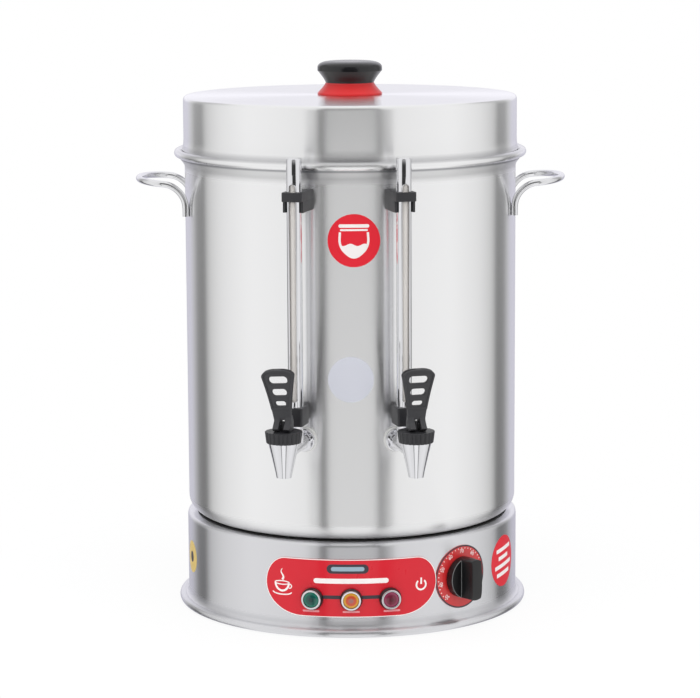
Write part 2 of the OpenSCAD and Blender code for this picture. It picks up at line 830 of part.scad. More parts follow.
module thermostat_knob() {
    knob_r = knob_d / 2;
    rim_in = 1;
    color("#1a1a1a") at_az(dial_az) out_from(knob_back_r, dial_z) difference() {
        union() {
            difference() {
                cylinder(r1 = knob_r, r2 = knob_r - rim_in, h = knob_skirt_h);
                translate([0, 0, -1]) cylinder(r = knob_r - knob_wall, h = knob_recess + 1);
            }
            cylinder(r = knob_hub_r, h = knob_skirt_h);
            intersection() {
                translate([0, 0, knob_skirt_h - 1])
                    cylinder(r = knob_r - rim_in, h = knob_h - knob_skirt_h + 1);
                translate([-knob_bar_w / 2, -knob_r, 0]) cube([knob_bar_w, knob_d, knob_h]);
            }
        }
        translate([0, 0, -1]) cylinder(r = shaft_d / 2 + fit, h = knob_bore_l + fit + 1);
        translate([0, 0, -1])
            cylinder(r = bushing_r + apart, h = 1 + bushing_out + apart);
    }
}

// Sensing bulb under the spreader, and the capillary that joins it to the thermostat
module thermostat_bulb() {
    case_r = thermostat_face_r - thermostat_deep / 2;
    case_top_z = dial_z + thermostat_w / 2;
    case_x = even(case_r * sin(dial_az));
    case_y = even(-case_r * cos(dial_az));
    bulb_y = -bulb_l / 2;
    element_low_z = element_z - element_r;
    run_z = even(min((bulb_z + case_top_z) / 2, element_low_z - capillary_r - capillary_clear));
    top_z = even(bulb_z);
    bend = even(min(capillary_bend, 0.45 * (top_z - run_z), 0.9 * (run_z - case_top_z)));
    color("peru") {
        translate([bulb_x, -bulb_y, bulb_z]) rotate([90, 0, 0]) cylinder(r = bulb_r, h = bulb_l);
        bent_rod([[bulb_x, bulb_y + 1, top_z], [bulb_x, bulb_y - capillary_run, top_z],
            [bulb_x, bulb_y - capillary_run, run_z], [bulb_x, case_y, run_z],
            [case_x, case_y, run_z], [case_x, case_y, even(case_top_z + fit)]],
            [for (i = [1 : 4]) bend], capillary_r);
    }
}

module heater_plate() {
    color("gainsboro") difference() {
        translate([0, 0, heater_z]) cylinder(r = heater_d / 2, h = heater_t);
        translate([0, 0, heater_z - 1]) cylinder(r = stud_r + apart, h = heater_t + 2);
        translate([0, 0, element_z]) rotate_extrude()
            translate([element_ring_d / 2, 0]) circle(element_r + fit);
    }
}

module heating_element() {
    ring_r = element_ring_d / 2;
    color("dimgray") translate([0, 0, element_z]) {
        rotate([0, 0, 90 + element_gap / 2]) rotate_extrude(angle = 360 - element_gap)
            translate([ring_r, 0]) circle(element_r);
        for (side = [-1, 1])
            at_az(180 + side * element_gap / 2) translate([0, -ring_r, 0]) {
                sphere(element_r);
                translate([0, 0, -cold_end_l]) cylinder(r = element_r, h = cold_end_l);
                translate([0, 0, -cold_end_l - cold_pin_l])
                    cylinder(r = cold_pin_r, h = cold_pin_l + 1);
            }
    }
}

module heater_clamp() {
    color("gray") translate([0, 0, clamp_top_z - clamp_t]) difference() {
        translate([-clamp_l / 2, -clamp_w / 2, 0]) cube([clamp_l, clamp_w, clamp_t]);
        translate([0, 0, -1]) cylinder(r = stud_r + apart, h = clamp_t + 2);
    }
}

// Nuts on the studs under the vessel floor: one holds the heater, the others the base
module floor_nuts() {
    color("gray") {
        floor_nut(clamp_top_z - clamp_t);
        for (az = tie_az)
            at_az(az) translate([0, -tie_stud_r, 0]) floor_nut(base_h - base_t);
    }
}

module floor_nut(seat) {
    translate([0, 0, seat - nut_h]) difference() {
        cylinder(r = nut_r, h = nut_h, $fn = 6);
        translate([0, 0, -1]) cylinder(r = stud_r + fit, h = nut_h + 2);
    }
}

module limit_thermostat() {
    ear_t = 1;
    ear_w = 9;
    tab = [6.3, 0.8, 8];
    color("#3a3a3a") translate([0, limit_y, heater_z]) {
        translate([0, 0, -limit_h]) cylinder(r = limit_d / 2, h = limit_h);
        translate([-limit_ear / 2, -ear_w / 2, -ear_t]) cube([limit_ear, ear_w, ear_t]);
        for (side = [-1, 1])
            translate([-tab[0] / 2, side * limit_d / 4 - tab[1] / 2, -limit_h - tab[2]])
                cube([tab[0], tab[1], tab[2] + 1]);
    }
}

module terminal_block() {
    pitch = block_size[0] / block_bores;
    bore_r = 2.5;
    color("ivory") translate([0, block_y, plate_top_z]) difference() {
        translate([-block_size[0] / 2, -block_size[1] / 2, 0]) cube(block_size);
        for (i = [0 : block_bores - 1])
            translate([(i - (block_bores - 1) / 2) * pitch, block_size[1], block_size[2] / 2])
                rotate([90, 0, 0]) cylinder(r = bore_r, h = 2 * block_size[1]);
    }
}

module cable_gland() {
    barrel_r = gland_barrel_d / 2;
    dome_r = barrel_r + 1.5;
    mouth_wall = 2;
    color("#1a1a1a") at_az(180) out_from(base_r + fit, gland_z) difference() {
        union() {
            translate([0, 0, -gland_inside]) cylinder(r = barrel_r, h = gland_inside + 1);
            cylinder(r = gland_hex_d / 2, h = gland_flange_h, $fn = 6);
            cylinder(r = dome_r, h = gland_flange_h + gland_dome_h / 2);
            translate([0, 0, gland_flange_h + gland_dome_h / 2])
                cylinder(r1 = dome_r, r2 = gland_bore_d / 2 + mouth_wall, h = gland_dome_h / 2);
        }
        translate([0, 0, -gland_inside - 1])
            cylinder(r = gland_bore_d / 2, h = gland_inside + gland_flange_h + gland_dome_h + 2);
    }
}

module gland_nut() {
    hex_r = gland_hex_d / 2;
    color("#1a1a1a") at_az(180) out_from(flat_seat(base_in_r, hex_r) - gland_nut_h, gland_z)
        difference() {
            cylinder(r = hex_r, h = gland_nut_h, $fn = 6);
            translate([0, 0, -1]) cylinder(r = gland_barrel_d / 2 + fit, h = gland_nut_h + 2);
        }
}

// Plastic nuts inside the base's wall: they hold the lamps and the gland
module base_nuts() {
    lamp_nuts();
    gland_nut();
}

module lid() {
    color("silver") difference() {
        rotate_extrude() {
            translate([0, lid_top_z - lid_t]) square([lid_r - lid_edge_r, lid_t]);
            translate([lid_r - lid_edge_r, lid_top_z - lid_edge_r])
                ring_sector(lid_edge_r - lid_t, lid_t, 0, 90);
            translate([lid_r - lid_t, lid_z]) square([lid_t, lid_h - lid_edge_r]);
        }
        translate([0, 0, lid_top_z - lid_t - 1])
            cylinder(r = knob_screw_d / 2 + apart, h = lid_t + 2);
    }
}

module lid_knob_collar() {
    steps = 10;
    lip = 2;
    hollow = 1.25;
    side = [for (i = [0 : steps]) let (u = i / steps)
        [waist_d / 2 + (collar_d - waist_d) / 2 * pow(1 - u, hollow), lip + (collar_h - lip) * u]];
    color("crimson") translate([0, 0, lid_top_z]) difference() {
        rotate_extrude() polygon(concat([[0, 0], [collar_d / 2, 0]], side, [[0, collar_h]]));
        translate([0, 0, -1]) cylinder(r = knob_screw_d / 2 + apart, h = collar_h + 2);
    }
}

module lid_knob_cap() {
    steps = 8;
    brim_h = 13;
    edge_h = 3.5;
    spread = 1.25;
    flat = 0.35;
    dome_h = cap_h - brim_h - edge_h;
    side = [for (i = [0 : steps]) let (u = i / steps)
        [waist_d / 2 + (cap_d - waist_d) / 2 * pow(u, spread), brim_h * u]];
    dome = [for (i = [0 : steps]) let (a = 90 * i / steps)
        [cap_d / 2 * pow(cos(a), flat), brim_h + edge_h + dome_h * sin(a)]];
    color("#1a1a1a") translate([0, 0, lid_top_z + collar_h]) difference() {
        rotate_extrude() polygon(concat([[0, 0]], side, dome));
        translate([0, 0, -1]) cylinder(r = knob_screw_d / 2 + fit, h = 1 + cap_h / 2 + fit);
    }
}

module lid_knob_screw() {
    head_r = 5;
    head_h = 3.5;
    washer_h = 1;
    knob_washer_r = 9;
    under = lid_top_z - lid_t - fit;
    color("gray") {
        translate([0, 0, under - washer_h]) cylinder(r = knob_washer_r, h = washer_h);
        translate([0, 0, under - washer_h - head_h]) cylinder(r = head_r, h = head_h);
        translate([0, 0, under - washer_h])
            cylinder(r = knob_screw_d / 2, h = lid_top_z + collar_h + cap_h / 2 - under + washer_h);
    }
}

// Seals each side of the wall, cut to its curve where they touch it
module shank_washers() {
    bore_r = shank_d / 2 + fit;
    color("#4a4a4a") for (side = [-1, 1]) {
        difference() {
            at_az(side * tap_az) out_from(vessel_r - washer_t, tap_z) difference() {
                cylinder(r = washer_r, h = 2 * washer_t);
                translate([0, 0, -1]) cylinder(r = bore_r, h = 2 * washer_t + 2);
            }
            translate([0, 0, tap_z - 2 * washer_r])
                cylinder(r = vessel_r + fit, h = 4 * washer_r);
        }
        intersection() {
            at_az(side * tap_az) out_from(vessel_in_r - washer_t, tap_z) difference() {
                cylinder(r = washer_r, h = washer_t);
                translate([0, 0, -1]) cylinder(r = bore_r, h = washer_t + 2);
            }
            translate([0, 0, tap_z - 2 * washer_r])
                cylinder(r = vessel_in_r - fit, h = 4 * washer_r);
        }
    }
}

module shank_nuts() {
    color("gainsboro") for (side = [-1, 1])
        at_az(side * tap_az) out_from(vessel_in_r - washer_t - shank_nut_h - fit, tap_z)
            difference() {
                cylinder(r = shank_nut_r, h = shank_nut_h, $fn = 6);
                translate([0, 0, -1]) cylinder(r = shank_d / 2 + fit, h = shank_nut_h + 2);
            }
}

// Shank: the tube through the wall, with its flange and the riser that feeds the gauge
module tap_shank(side) {
    bore_r = water_way_d / 2;
    flange_at = vessel_r + washer_t + fit;
    color("gainsboro") at_az(side * tap_az) difference() {
        union() {
            out_from(shank_in_r, tap_z)
                cylinder(r = shank_d / 2, h = boss_face_r - fit - shank_in_r);
            out_from(flange_at, tap_z) cylinder(r = shank_flange_d / 2, h = shank_flange_t);
            out_from(boss_face_r - 1, tap_z)
                cylinder(r = spigot_r, h = spigot_end_r - boss_face_r + 1);
            translate([0, -gauge_r, tap_z]) cylinder(r = riser_r, h = socket_z + socket_h - tap_z);
            translate([0, -gauge_r, tap_z])
                cylinder(r = guard_r, h = shoulder_z + shoulder_h - tap_z);
        }
        out_from(shank_in_r - 1, tap_z) cylinder(r = bore_r, h = spout_axis_r - shank_in_r);
        translate([0, -gauge_r, tap_z]) cylinder(r = riser_bore_r, h = socket_z - tap_z + 1);
        translate([0, -gauge_r, socket_z]) cylinder(r = glass_r + fit, h = socket_h + 1);
    }
}

module left_tap_shank() { tap_shank(-1); }
module right_tap_shank() { tap_shank(1); }

// Spout: a tapered cup with the valve seat in it, a side boss and a neck for the bonnet
module tap_spout(side) {
    steps = 8;
    bow = 1.1;
    tip_r = spout_tip_d / 2;
    top_r = spout_d / 2;
    height = spout_rise + spout_drop;
    outline = [for (i = [0 : steps]) let (u = i / steps)
        [tip_r + (top_r - tip_r) * pow(u, bow), height * u]];
    color("gainsboro") at_az(side * tap_az) difference() {
        union() {
            translate([0, -spout_axis_r, spout_tip_z])
                rotate_extrude() polygon(concat([[0, 0]], outline, [[0, height]]));
            translate([0, -spout_axis_r, spout_top_z - 1]) cylinder(r = neck_r, h = neck_h + 1);
            out_from(boss_face_r, tap_z) cylinder(r = boss_r, h = boss_l);
        }
        translate([0, -spout_axis_r, seat_z]) cylinder(r = chamber_r, h = bonnet_h + spout_d);
        translate([0, -spout_axis_r, spout_tip_z - 1]) cylinder(r = outlet_r, h = spout_drop);
        out_from(boss_face_r - 1, tap_z)
            cylinder(r = spigot_r + fit, h = spigot_end_r + fit - boss_face_r + 1);
        out_from(boss_face_r, tap_z) cylinder(r = outlet_r, h = boss_l);
    }
}

module left_tap_spout() { tap_spout(-1); }
module right_tap_spout() { tap_spout(1); }

// Bonnet: the screw cap that holds the spring down, with a scalloped grip
module tap_bonnet(side) {
    top_r = bonnet_d / 2;
    foot = spout_top_z + fit;
    height = bonnet_top_z - foot;
    color("#1a1a1a") at_az(side * tap_az) translate([0, -spout_axis_r, foot]) difference() {
        intersection() {
            cylinder(r1 = top_r - bonnet_taper, r2 = top_r, h = height);
            linear_extrude(height) difference() {
                circle(top_r);
                for (i = [0 : grip_count - 1])
                    rotate(i * 360 / grip_count) translate([top_r + grip_r / 3, 0]) circle(grip_r);
            }
        }
        translate([0, 0, -1]) cylinder(r = neck_r + fit, h = neck_h + 1 + fit);
        translate([0, 0, -1]) cylinder(r = chamber_r, h = 1 + bonnet_roof_z - foot);
        translate([0, 0, -1]) cylinder(r = stem_d / 2 + run, h = height + 2);
    }
}

module left_tap_bonnet() { tap_bonnet(-1); }
module right_tap_bonnet() { tap_bonnet(1); }

module tap_stem(side) {
    color("#1a1a1a") at_az(side * tap_az) translate([0, -spout_axis_r, 0]) difference() {
        translate([0, 0, stem_foot_z]) cylinder(r = stem_d / 2, h = pin_z + stem_top - stem_foot_z);
        translate([-stem_d, 0, pin_z]) rotate([0, 90, 0])
            cylinder(r = pin_d / 2 + run, h = 2 * stem_d);
    }
}

module left_tap_stem() { tap_stem(-1); }
module right_tap_stem() { tap_stem(1); }

// Seat cup: the soft plug that closes the outlet
module seat_cup(side) {
    foot = seat_z + apart;
    color("white") at_az(side * tap_az) translate([0, -spout_axis_r, 0]) difference() {
        union() {
            translate([0, 0, foot]) cylinder(r1 = cup_r - 1, r2 = cup_r, h = cup_skirt_h);
            translate([0, 0, foot + cup_skirt_h])
                cylinder(r = cup_r, h = cup_top_z - foot - cup_skirt_h);
        }
        translate([0, 0, stem_foot_z - fit]) cylinder(r = stem_d / 2 + fit, h = cup_top_z);
    }
}

module left_seat_cup() { seat_cup(-1); }
module right_seat_cup() { seat_cup(1); }

// Return spring: one wire wound up the stem, with flat lying ends
module tap_spring(side) {
    rings = spring_turns * rings_a_turn;
    low = spring_foot_z + spring_wire_r;
    rise = spring_head_z - spring_wire_r - low;
    points = [for (i = [0 : rings], k = [0 : wire_sides - 1])
        let (a = 360 * i / rings_a_turn, b = 360 * k / wire_sides, r = spring_r + spring_wire_r * cos(b))
        [r * cos(a), r * sin(a), low + rise * i / rings + spring_wire_r * sin(b)]];
    skin = [for (i = [0 : rings - 1], k = [0 : wire_sides - 1], half = [0, 1])
        let (p = i * wire_sides + k, q = i * wire_sides + (k + 1) % wire_sides)
        half == 0 ? [p, p + wire_sides, q] : [q, p + wire_sides, q + wire_sides]];
    first = [for (k = [1 : wire_sides - 2]) [0, k, k + 1]];
    last_at = rings * wire_sides;
    last = [for (k = [1 : wire_sides - 2]) [last_at, last_at + k + 1, last_at + k]];
    color("gray") at_az(side * tap_az) translate([0, -spout_axis_r, 0])
        polyhedron(points, concat(skin, first, last));
}

module left_tap_spring() { tap_spring(-1); }
module right_tap_spring() { tap_spring(1); }

// Cam point for a pull of a degrees, out from the pin and up: the flat bonnet top touches it
function cam_point(a) = let (h = cam_h + cam_rate * a * PI / 180)
    [h * sin(a) + cam_rate * cos(a), cam_rate * sin(a) - h * cos(a)];

// Half width of the lever's blade, as a share of the way from its foot to its crown
function lever_half(u) = (lever_foot_w + (lever_top_w - lever_foot_w) * pow(u, 1.5)) / 2;

module lever_outline() {
    side_h = lever_h - crown_h;
    side = [for (i = [0 : side_steps]) let (u = i / side_steps) [lever_half(u), side_h * u]];
    crown = [for (i = [1 : side_steps]) let (a = 90 * i / side_steps)
        [lever_half(1) * pow(cos(a), 0.7), side_h + crown_h * sin(a)]];
    difference() {
        polygon(concat(side, crown, flip(side)));
        for (s = lever_slots) {
            w = s[0] - s[1];
            translate([0, lever_h - s[2]]) {
                square([w, s[1]], center = true);
                for (end = [-1, 1]) translate([end * w / 2, 0]) circle(d = s[1]);
            }
        }
    }
}

// Lever: a slotted blade that leans outwards, on a forked cam foot that straddles the stem
module tap_lever(side) {
    cam = [for (i = [0 : cam_steps]) cam_point(lever_pull * i / cam_steps)];
    half_t = lever_t / 2;
    heel = [[half_t + 1, 4], [half_t, 9], [-half_t, 9], [-cam_back, 2], [-cam_back, 1 - cam_h],
        [1 - cam_back, -cam_h]];
    fork_h = cam_h + fork_top + 1;
    color("#1a1a1a") at_az(side * tap_az) translate([0, -spout_axis_r, pin_z]) difference() {
        union() {
            rotate([lever_lean, 0, 0]) translate([0, half_t, 0]) rotate([90, 0, 0])
                linear_extrude(lever_t) lever_outline();
            translate([-lever_foot_w / 2, 0, 0]) rotate([90, 0, 0]) rotate([0, 90, 0])
                linear_extrude(lever_foot_w) polygon([for (p = concat(cam, heel)) [-p[0], p[1]]]);
        }
        translate([-fork_w / 2, -2 * spout_d, -fork_h + fork_top])
            cube([fork_w, 4 * spout_d, fork_h]);
        translate([-lever_foot_w, 0, 0]) rotate([0, 90, 0])
            cylinder(r = pin_d / 2 + fit, h = 2 * lever_foot_w);
    }
}

module left_tap_lever() { tap_lever(-1); }
module right_tap_lever() { tap_lever(1); }

module lever_pin(side) {
    pin_l = lever_foot_w - 2 * apart;
    color("gray") at_az(side * tap_az) translate([-pin_l / 2, -spout_axis_r, pin_z])
        rotate([0, 90, 0]) cylinder(r = pin_d / 2, h = pin_l);
}

module left_lever_pin() { lever_pin(-1); }
module right_lever_pin() { lever_pin(1); }

module gauge_glass(side) {
    foot = socket_z + fit;
    height = guard_top_z - glass_top_gap - foot;
    color("lightcyan") at_az(side * tap_az) translate([0, -gauge_r, foot]) difference() {
        cylinder(r = glass_r, h = height);
        translate([0, 0, -1]) cylinder(r = glass_r - glass_t, h = height + 2);
    }
}

module left_gauge_glass() { gauge_glass(-1); }
module right_gauge_glass() { gauge_glass(1); }

// Guard: a tube closed at the top, with a sight slot down its front
module gauge_guard(side) {
    height = guard_top_z - guard_z;
    slot_low = tap_z + slot_foot - guard_z + slot_w / 2;
    slot_high = height - slot_top - slot_w / 2;
    color("gainsboro") at_az(side * tap_az) translate([0, -gauge_r, guard_z]) difference() {
        cylinder(r = guard_r, h = height);
        translate([0, 0, -1]) cylinder(r = guard_r - guard_t, h = height - guard_t + 1);
        translate([0, 0, -1]) cylinder(r = vent_hole_r, h = height + 2);
        for (z = [slot_low, slot_high])
            out_from(0, z) cylinder(r = slot_w / 2, h = guard_d);
        translate([-slot_w / 2, -guard_d, slot_low])
            cube([slot_w, guard_d, slot_high - slot_low]);
    }
}

module left_gauge_guard() { gauge_guard(-1); }
module right_gauge_guard() { gauge_guard(1); }

// Block that carries the guard, from the wall outwards, with the stud and grub screw holes
module bracket_block(side, z, height, front) {
    bore_r = guard_r + fit;
    stud_z = z + height / 2;
    color("#1a1a1a") difference() {
        at_az(side * tap_az) difference() {
            translate([-bracket_w / 2, -front, z])
                cube([bracket_w, front - vessel_r + bracket_w, height]);
            translate([0, -gauge_r, z - 1]) cylinder(r = bore_r, h = height + 2);
            out_from(vessel_r - 1, stud_z)
                cylinder(r = small_r + fit, h = bracket_stud_l + 1 + fit);
            translate([0, -grub_at_r, z - 1]) cylinder(r = grub_r + fit, h = height / 2 + 1);
            children();
        }
        translate([0, 0, z - 1]) cylinder(r = vessel_r + fit, h = height + 2);
    }
}

module upper_bracket(side) {
    open_h = upper_bracket_h - bracket_bar_h;
    cheek_r = gauge_r + cheek_lip;
    bracket_block(side, upper_bracket_z, upper_bracket_h, gauge_r + guard_r + bracket_lip) {
        translate([-guard_r - fit, -gauge_r - guard_d, upper_bracket_z - 1])
            cube([guard_d + 2 * fit, guard_d, open_h + 1]);
        translate([-bracket_w, -cheek_r - guard_d, upper_bracket_z - 1])
            cube([2 * bracket_w, guard_d, open_h + 1]);
    }
}

module left_upper_bracket() { upper_bracket(-1); }
module right_upper_bracket() { upper_bracket(1); }

module lower_bracket(side) {
    bracket_block(side, lower_bracket_z, lower_bracket_h, gauge_r + guard_r + bracket_lip);
}

module left_lower_bracket() { lower_bracket(-1); }
module right_lower_bracket() { lower_bracket(1); }

// Grub screws that clamp each bracket to its stud, from below
module bracket_screws() {
    color("gray") for (side = [-1, 1], which = [0, 1])
        at_az(side * tap_az)
            translate([0, -grub_at_r, bracket_mid(which) - small_r - fit - grub_l])
                cylinder(r = grub_r, h = grub_l);
}

vessel_floor();
vessel_wall();
vessel_rim();
seat_gasket();
base_housing();
base_plate();
base_screws();
base_nuts();
rubber_feet();
left_handle();
right_handle();
control_panel_plate();
lamp_bezels();
lamp_rings();
lamp_lens_green();
lamp_lens_amber();
lamp_lens_red();
thermostat_dial();
thermostat_body();
thermostat_shaft();
thermostat_knob();
thermostat_bulb();
heater_plate();
heating_element();
heater_clamp();
floor_nuts();
limit_thermostat();
terminal_block();
cable_gland();
lid();
lid_knob_collar();
lid_knob_cap();
lid_knob_screw();
shank_washers();
shank_nuts();
left_tap_shank();
right_tap_shank();
left_tap_spout();
right_tap_spout();
left_tap_bonnet();
right_tap_bonnet();
left_tap_stem();
right_tap_stem();
left_seat_cup();
right_seat_cup();
left_tap_spring();
right_tap_spring();
left_tap_lever();
right_tap_lever();
left_lever_pin();
right_lever_pin();
left_gauge_glass();
right_gauge_glass();
left_gauge_guard();
right_gauge_guard();
left_upper_bracket();
right_upper_bracket();
left_lower_bracket();
right_lower_bracket();
bracket_screws();
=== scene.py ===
import json

import bmesh
import bpy
import numpy as np
from mathutils import Matrix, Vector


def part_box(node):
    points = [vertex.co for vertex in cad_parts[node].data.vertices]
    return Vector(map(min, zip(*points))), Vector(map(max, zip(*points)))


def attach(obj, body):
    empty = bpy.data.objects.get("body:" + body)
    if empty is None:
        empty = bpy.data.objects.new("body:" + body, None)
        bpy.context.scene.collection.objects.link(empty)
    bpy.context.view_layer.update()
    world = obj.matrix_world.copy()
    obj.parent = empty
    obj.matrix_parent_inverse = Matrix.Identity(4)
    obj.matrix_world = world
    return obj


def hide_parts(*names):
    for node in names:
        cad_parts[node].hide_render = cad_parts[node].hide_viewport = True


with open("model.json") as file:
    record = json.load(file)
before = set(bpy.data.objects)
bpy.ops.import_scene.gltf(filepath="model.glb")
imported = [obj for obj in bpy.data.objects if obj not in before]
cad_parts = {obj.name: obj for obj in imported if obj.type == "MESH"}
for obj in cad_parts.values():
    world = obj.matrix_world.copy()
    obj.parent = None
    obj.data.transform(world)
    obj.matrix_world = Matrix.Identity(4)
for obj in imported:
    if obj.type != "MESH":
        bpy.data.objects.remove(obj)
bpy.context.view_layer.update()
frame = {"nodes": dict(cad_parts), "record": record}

# Vessel: the tall boiling pot, pressed from thin stainless sheet and brushed round and round.
# The floor's corner is wide, and the rim flares out and is rolled into a bead.


def rounded(corners, reach, closed=True, steps=7):
    """Line through the corners, where each corner gives way to a quadratic curve that begins
    and ends its reach away from the corner. The ends of an open line stay where they are."""
    corners = np.asarray(corners, float)
    reach = np.broadcast_to(np.asarray(reach, float), len(corners))[:, None, None]
    back = np.roll(corners, 1, axis=0) - corners
    ahead = np.roll(corners, -1, axis=0) - corners
    back = back / np.linalg.norm(back, axis=1, keepdims=True)
    ahead = ahead / np.linalg.norm(ahead, axis=1, keepdims=True)
    t = np.linspace(0.0, 1.0, steps)[None, :, None]
    curve = corners[:, None] + reach * ((1 - t) ** 2 * back[:, None] + t**2 * ahead[:, None])
    if closed:
        return curve.reshape(-1, corners.shape[1])
    middle = curve[1:-1].reshape(-1, corners.shape[1])
    return np.vstack([corners[:1], middle, corners[-1:]])


def arc(centre, radius, start, end, steps=25):
    """Points on a circle from one angle to another, in degrees, measured from the first axis."""
    angle = np.radians(np.linspace(start, end, steps))
    return np.asarray(centre) + radius * np.stack([np.cos(angle), np.sin(angle)], axis=-1)


def turned(profile, segments=96, base=(0.0, 0.0, 0.0), axis=(0.0, 0.0, 1.0)):
    """Surface of revolution: each profile point, a radius and a height, goes once round the axis."""
    profile = np.asarray(profile, float)
    axis = np.asarray(axis, float)
    side = np.array([1.0, 0.0, 0.0]) if abs(axis[2]) > 0.9 else np.cross([0.0, 0.0, 1.0], axis)
    side = side / np.linalg.norm(side)
    angle = np.linspace(0.0, 2 * np.pi, segments, endpoint=False)
    ring = np.cos(angle)[:, None] * side + np.sin(angle)[:, None] * np.cross(axis, side)
    return np.asarray(base) + profile[:, :1, None] * ring + profile[:, 1:, None] * axis


def woven(name, *grids, wrap_rows=False, wrap_columns=True, sharp=38.0):
    """Mesh over one or more grids of points in millimetres: every four neighbours make a face.
    Points that meet, at a pole or along a seam, become one, and faces turn outwards."""
    mesh = bpy.data.meshes.new(name)
    work = bmesh.new()
    for grid in grids:
        rows, columns = grid.shape[:2]
        row = np.arange(rows if wrap_rows else rows - 1)[:, None]
        column = np.arange(columns if wrap_columns else columns - 1)[None, :]
        next_row = (row + 1) % rows
        next_column = (column + 1) % columns
        corners = [row * columns + column, row * columns + next_column]
        corners += [next_row * columns + next_column, next_row * columns + column]
        quads = np.stack(corners, axis=-1).reshape(-1, 4)
        part = bpy.data.meshes.new(name + "_grid")
        part.from_pydata((grid.reshape(-1, 3) * 0.001).tolist(), [], quads.tolist())
        shell = bmesh.new()
        shell.from_mesh(part)
        bmesh.ops.remove_doubles(shell, verts=shell.verts, dist=1e-6)
        bmesh.ops.recalc_face_normals(shell, faces=shell.faces)
        shell.to_mesh(part)
        shell.free()
        work.from_mesh(part)
        bpy.data.meshes.remove(part)
    work.to_mesh(mesh)
    work.free()
    mesh.shade_smooth()
    mesh.set_sharp_from_angle(angle=np.radians(sharp))
    piece = bpy.data.objects.new(name, mesh)
    bpy.context.scene.collection.objects.link(piece)
    return piece


def fitted(piece, material, body, slot, *nodes):
    """Gives a piece its finish and its place among the bodies, and the nodes that it stands for."""
    piece.data.materials.append(material)
    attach(piece, body)
    if nodes:
        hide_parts(*nodes)
    return piece


def tint(red, green, blue):
    """Linear colour, with full cover, of a colour given as 0 to 255 on a screen."""
    level = np.array([red, green, blue]) / 255.0
    linear = np.where(level > 0.04045, ((level + 0.055) / 1.055) ** 2.4, level / 12.92)
    return (*linear.tolist(), 1.0)


def principled(material):
    """The one shader of a material."""
    return material.node_tree.nodes["Principled BSDF"]


def bare_finish(name, colour, metallic=0.0):
    """Material with one Principled shader, of one colour and share of metal."""
    material = bpy.data.materials.new(name)
    material.use_nodes = True
    principled(material).inputs["Base Color"].default_value = colour
    principled(material).inputs["Metallic"].default_value = metallic
    return material


def effect_group(name, inputs, outputs):
    """Shader node group with named sockets, each given with its kind. Returns the group, and the
    nodes inside it that bring its inputs and take its outputs."""
    group = bpy.data.node_groups.new(name, "ShaderNodeTree")
    for socket, kind in inputs.items():
        group.interface.new_socket(socket, in_out="INPUT", socket_type="NodeSocket" + kind)
    for socket, kind in outputs.items():
        group.interface.new_socket(socket, in_out="OUTPUT", socket_type="NodeSocket" + kind)
    return group, group.nodes.new("NodeGroupInput"), group.nodes.new("NodeGroupOutput")


def applied(material, group, **values):
    """An effect placed in a material, with its own values."""
    effect = material.node_tree.nodes.new("ShaderNodeGroup")
    effect.node_tree = group
    for socket, value in values.items():
        effect.inputs[socket].default_value = value
    return effect


# Brushing lines that run round the upright axis: noise that changes slowly along a circle and
# quickly across it, read on a circle so that it has no seam.
grain_inputs = {"Along": "Float", "Across": "Float"}
ring_grain, grain_in, grain_out = effect_group("ring_grain", grain_inputs, {"Grain": "Float"})
made = ring_grain.nodes
place = made.new("ShaderNodeTexCoord")
split = made.new("ShaderNodeSeparateXYZ")
flat = made.new("ShaderNodeCombineXYZ")
heading = made.new("ShaderNodeVectorMath")
heading.operation = "NORMALIZE"
distance = made.new("ShaderNodeVectorMath")
distance.operation = "LENGTH"
stretch = made.new("ShaderNodeVectorMath")
stretch.operation = "SCALE"
outwards = made.new("ShaderNodeMath")
outwards.operation = "MULTIPLY"
upwards = made.new("ShaderNodeMath")
upwards.operation = "MULTIPLY"
lifted = made.new("ShaderNodeCombineXYZ")
joined = made.new("ShaderNodeVectorMath")
joined.operation = "ADD"
lines = made.new("ShaderNodeTexNoise")
lines.noise_dimensions = "4D"
lines.inputs["Scale"].default_value = 1.0
lines.inputs["Detail"].default_value = 3.0
lines.inputs["Roughness"].default_value = 0.65
wire = ring_grain.links.new
wire(place.outputs["Object"], split.inputs[0])
wire(split.outputs["X"], flat.inputs["X"])
wire(split.outputs["Y"], flat.inputs["Y"])
wire(flat.outputs[0], heading.inputs[0])
wire(flat.outputs[0], distance.inputs[0])
wire(heading.outputs["Vector"], stretch.inputs[0])
wire(grain_in.outputs["Along"], stretch.inputs["Scale"])
wire(distance.outputs["Value"], outwards.inputs[0])
wire(grain_in.outputs["Across"], outwards.inputs[1])
wire(split.outputs["Z"], upwards.inputs[0])
wire(grain_in.outputs["Across"], upwards.inputs[1])
wire(outwards.outputs[0], lifted.inputs["Z"])
wire(stretch.outputs["Vector"], joined.inputs[0])
wire(lifted.outputs[0], joined.inputs[1])
wire(joined.outputs["Vector"], lines.inputs["Vector"])
wire(upwards.outputs[0], lines.inputs["W"])
wire(lines.outputs["Fac"], grain_out.inputs["Grain"])

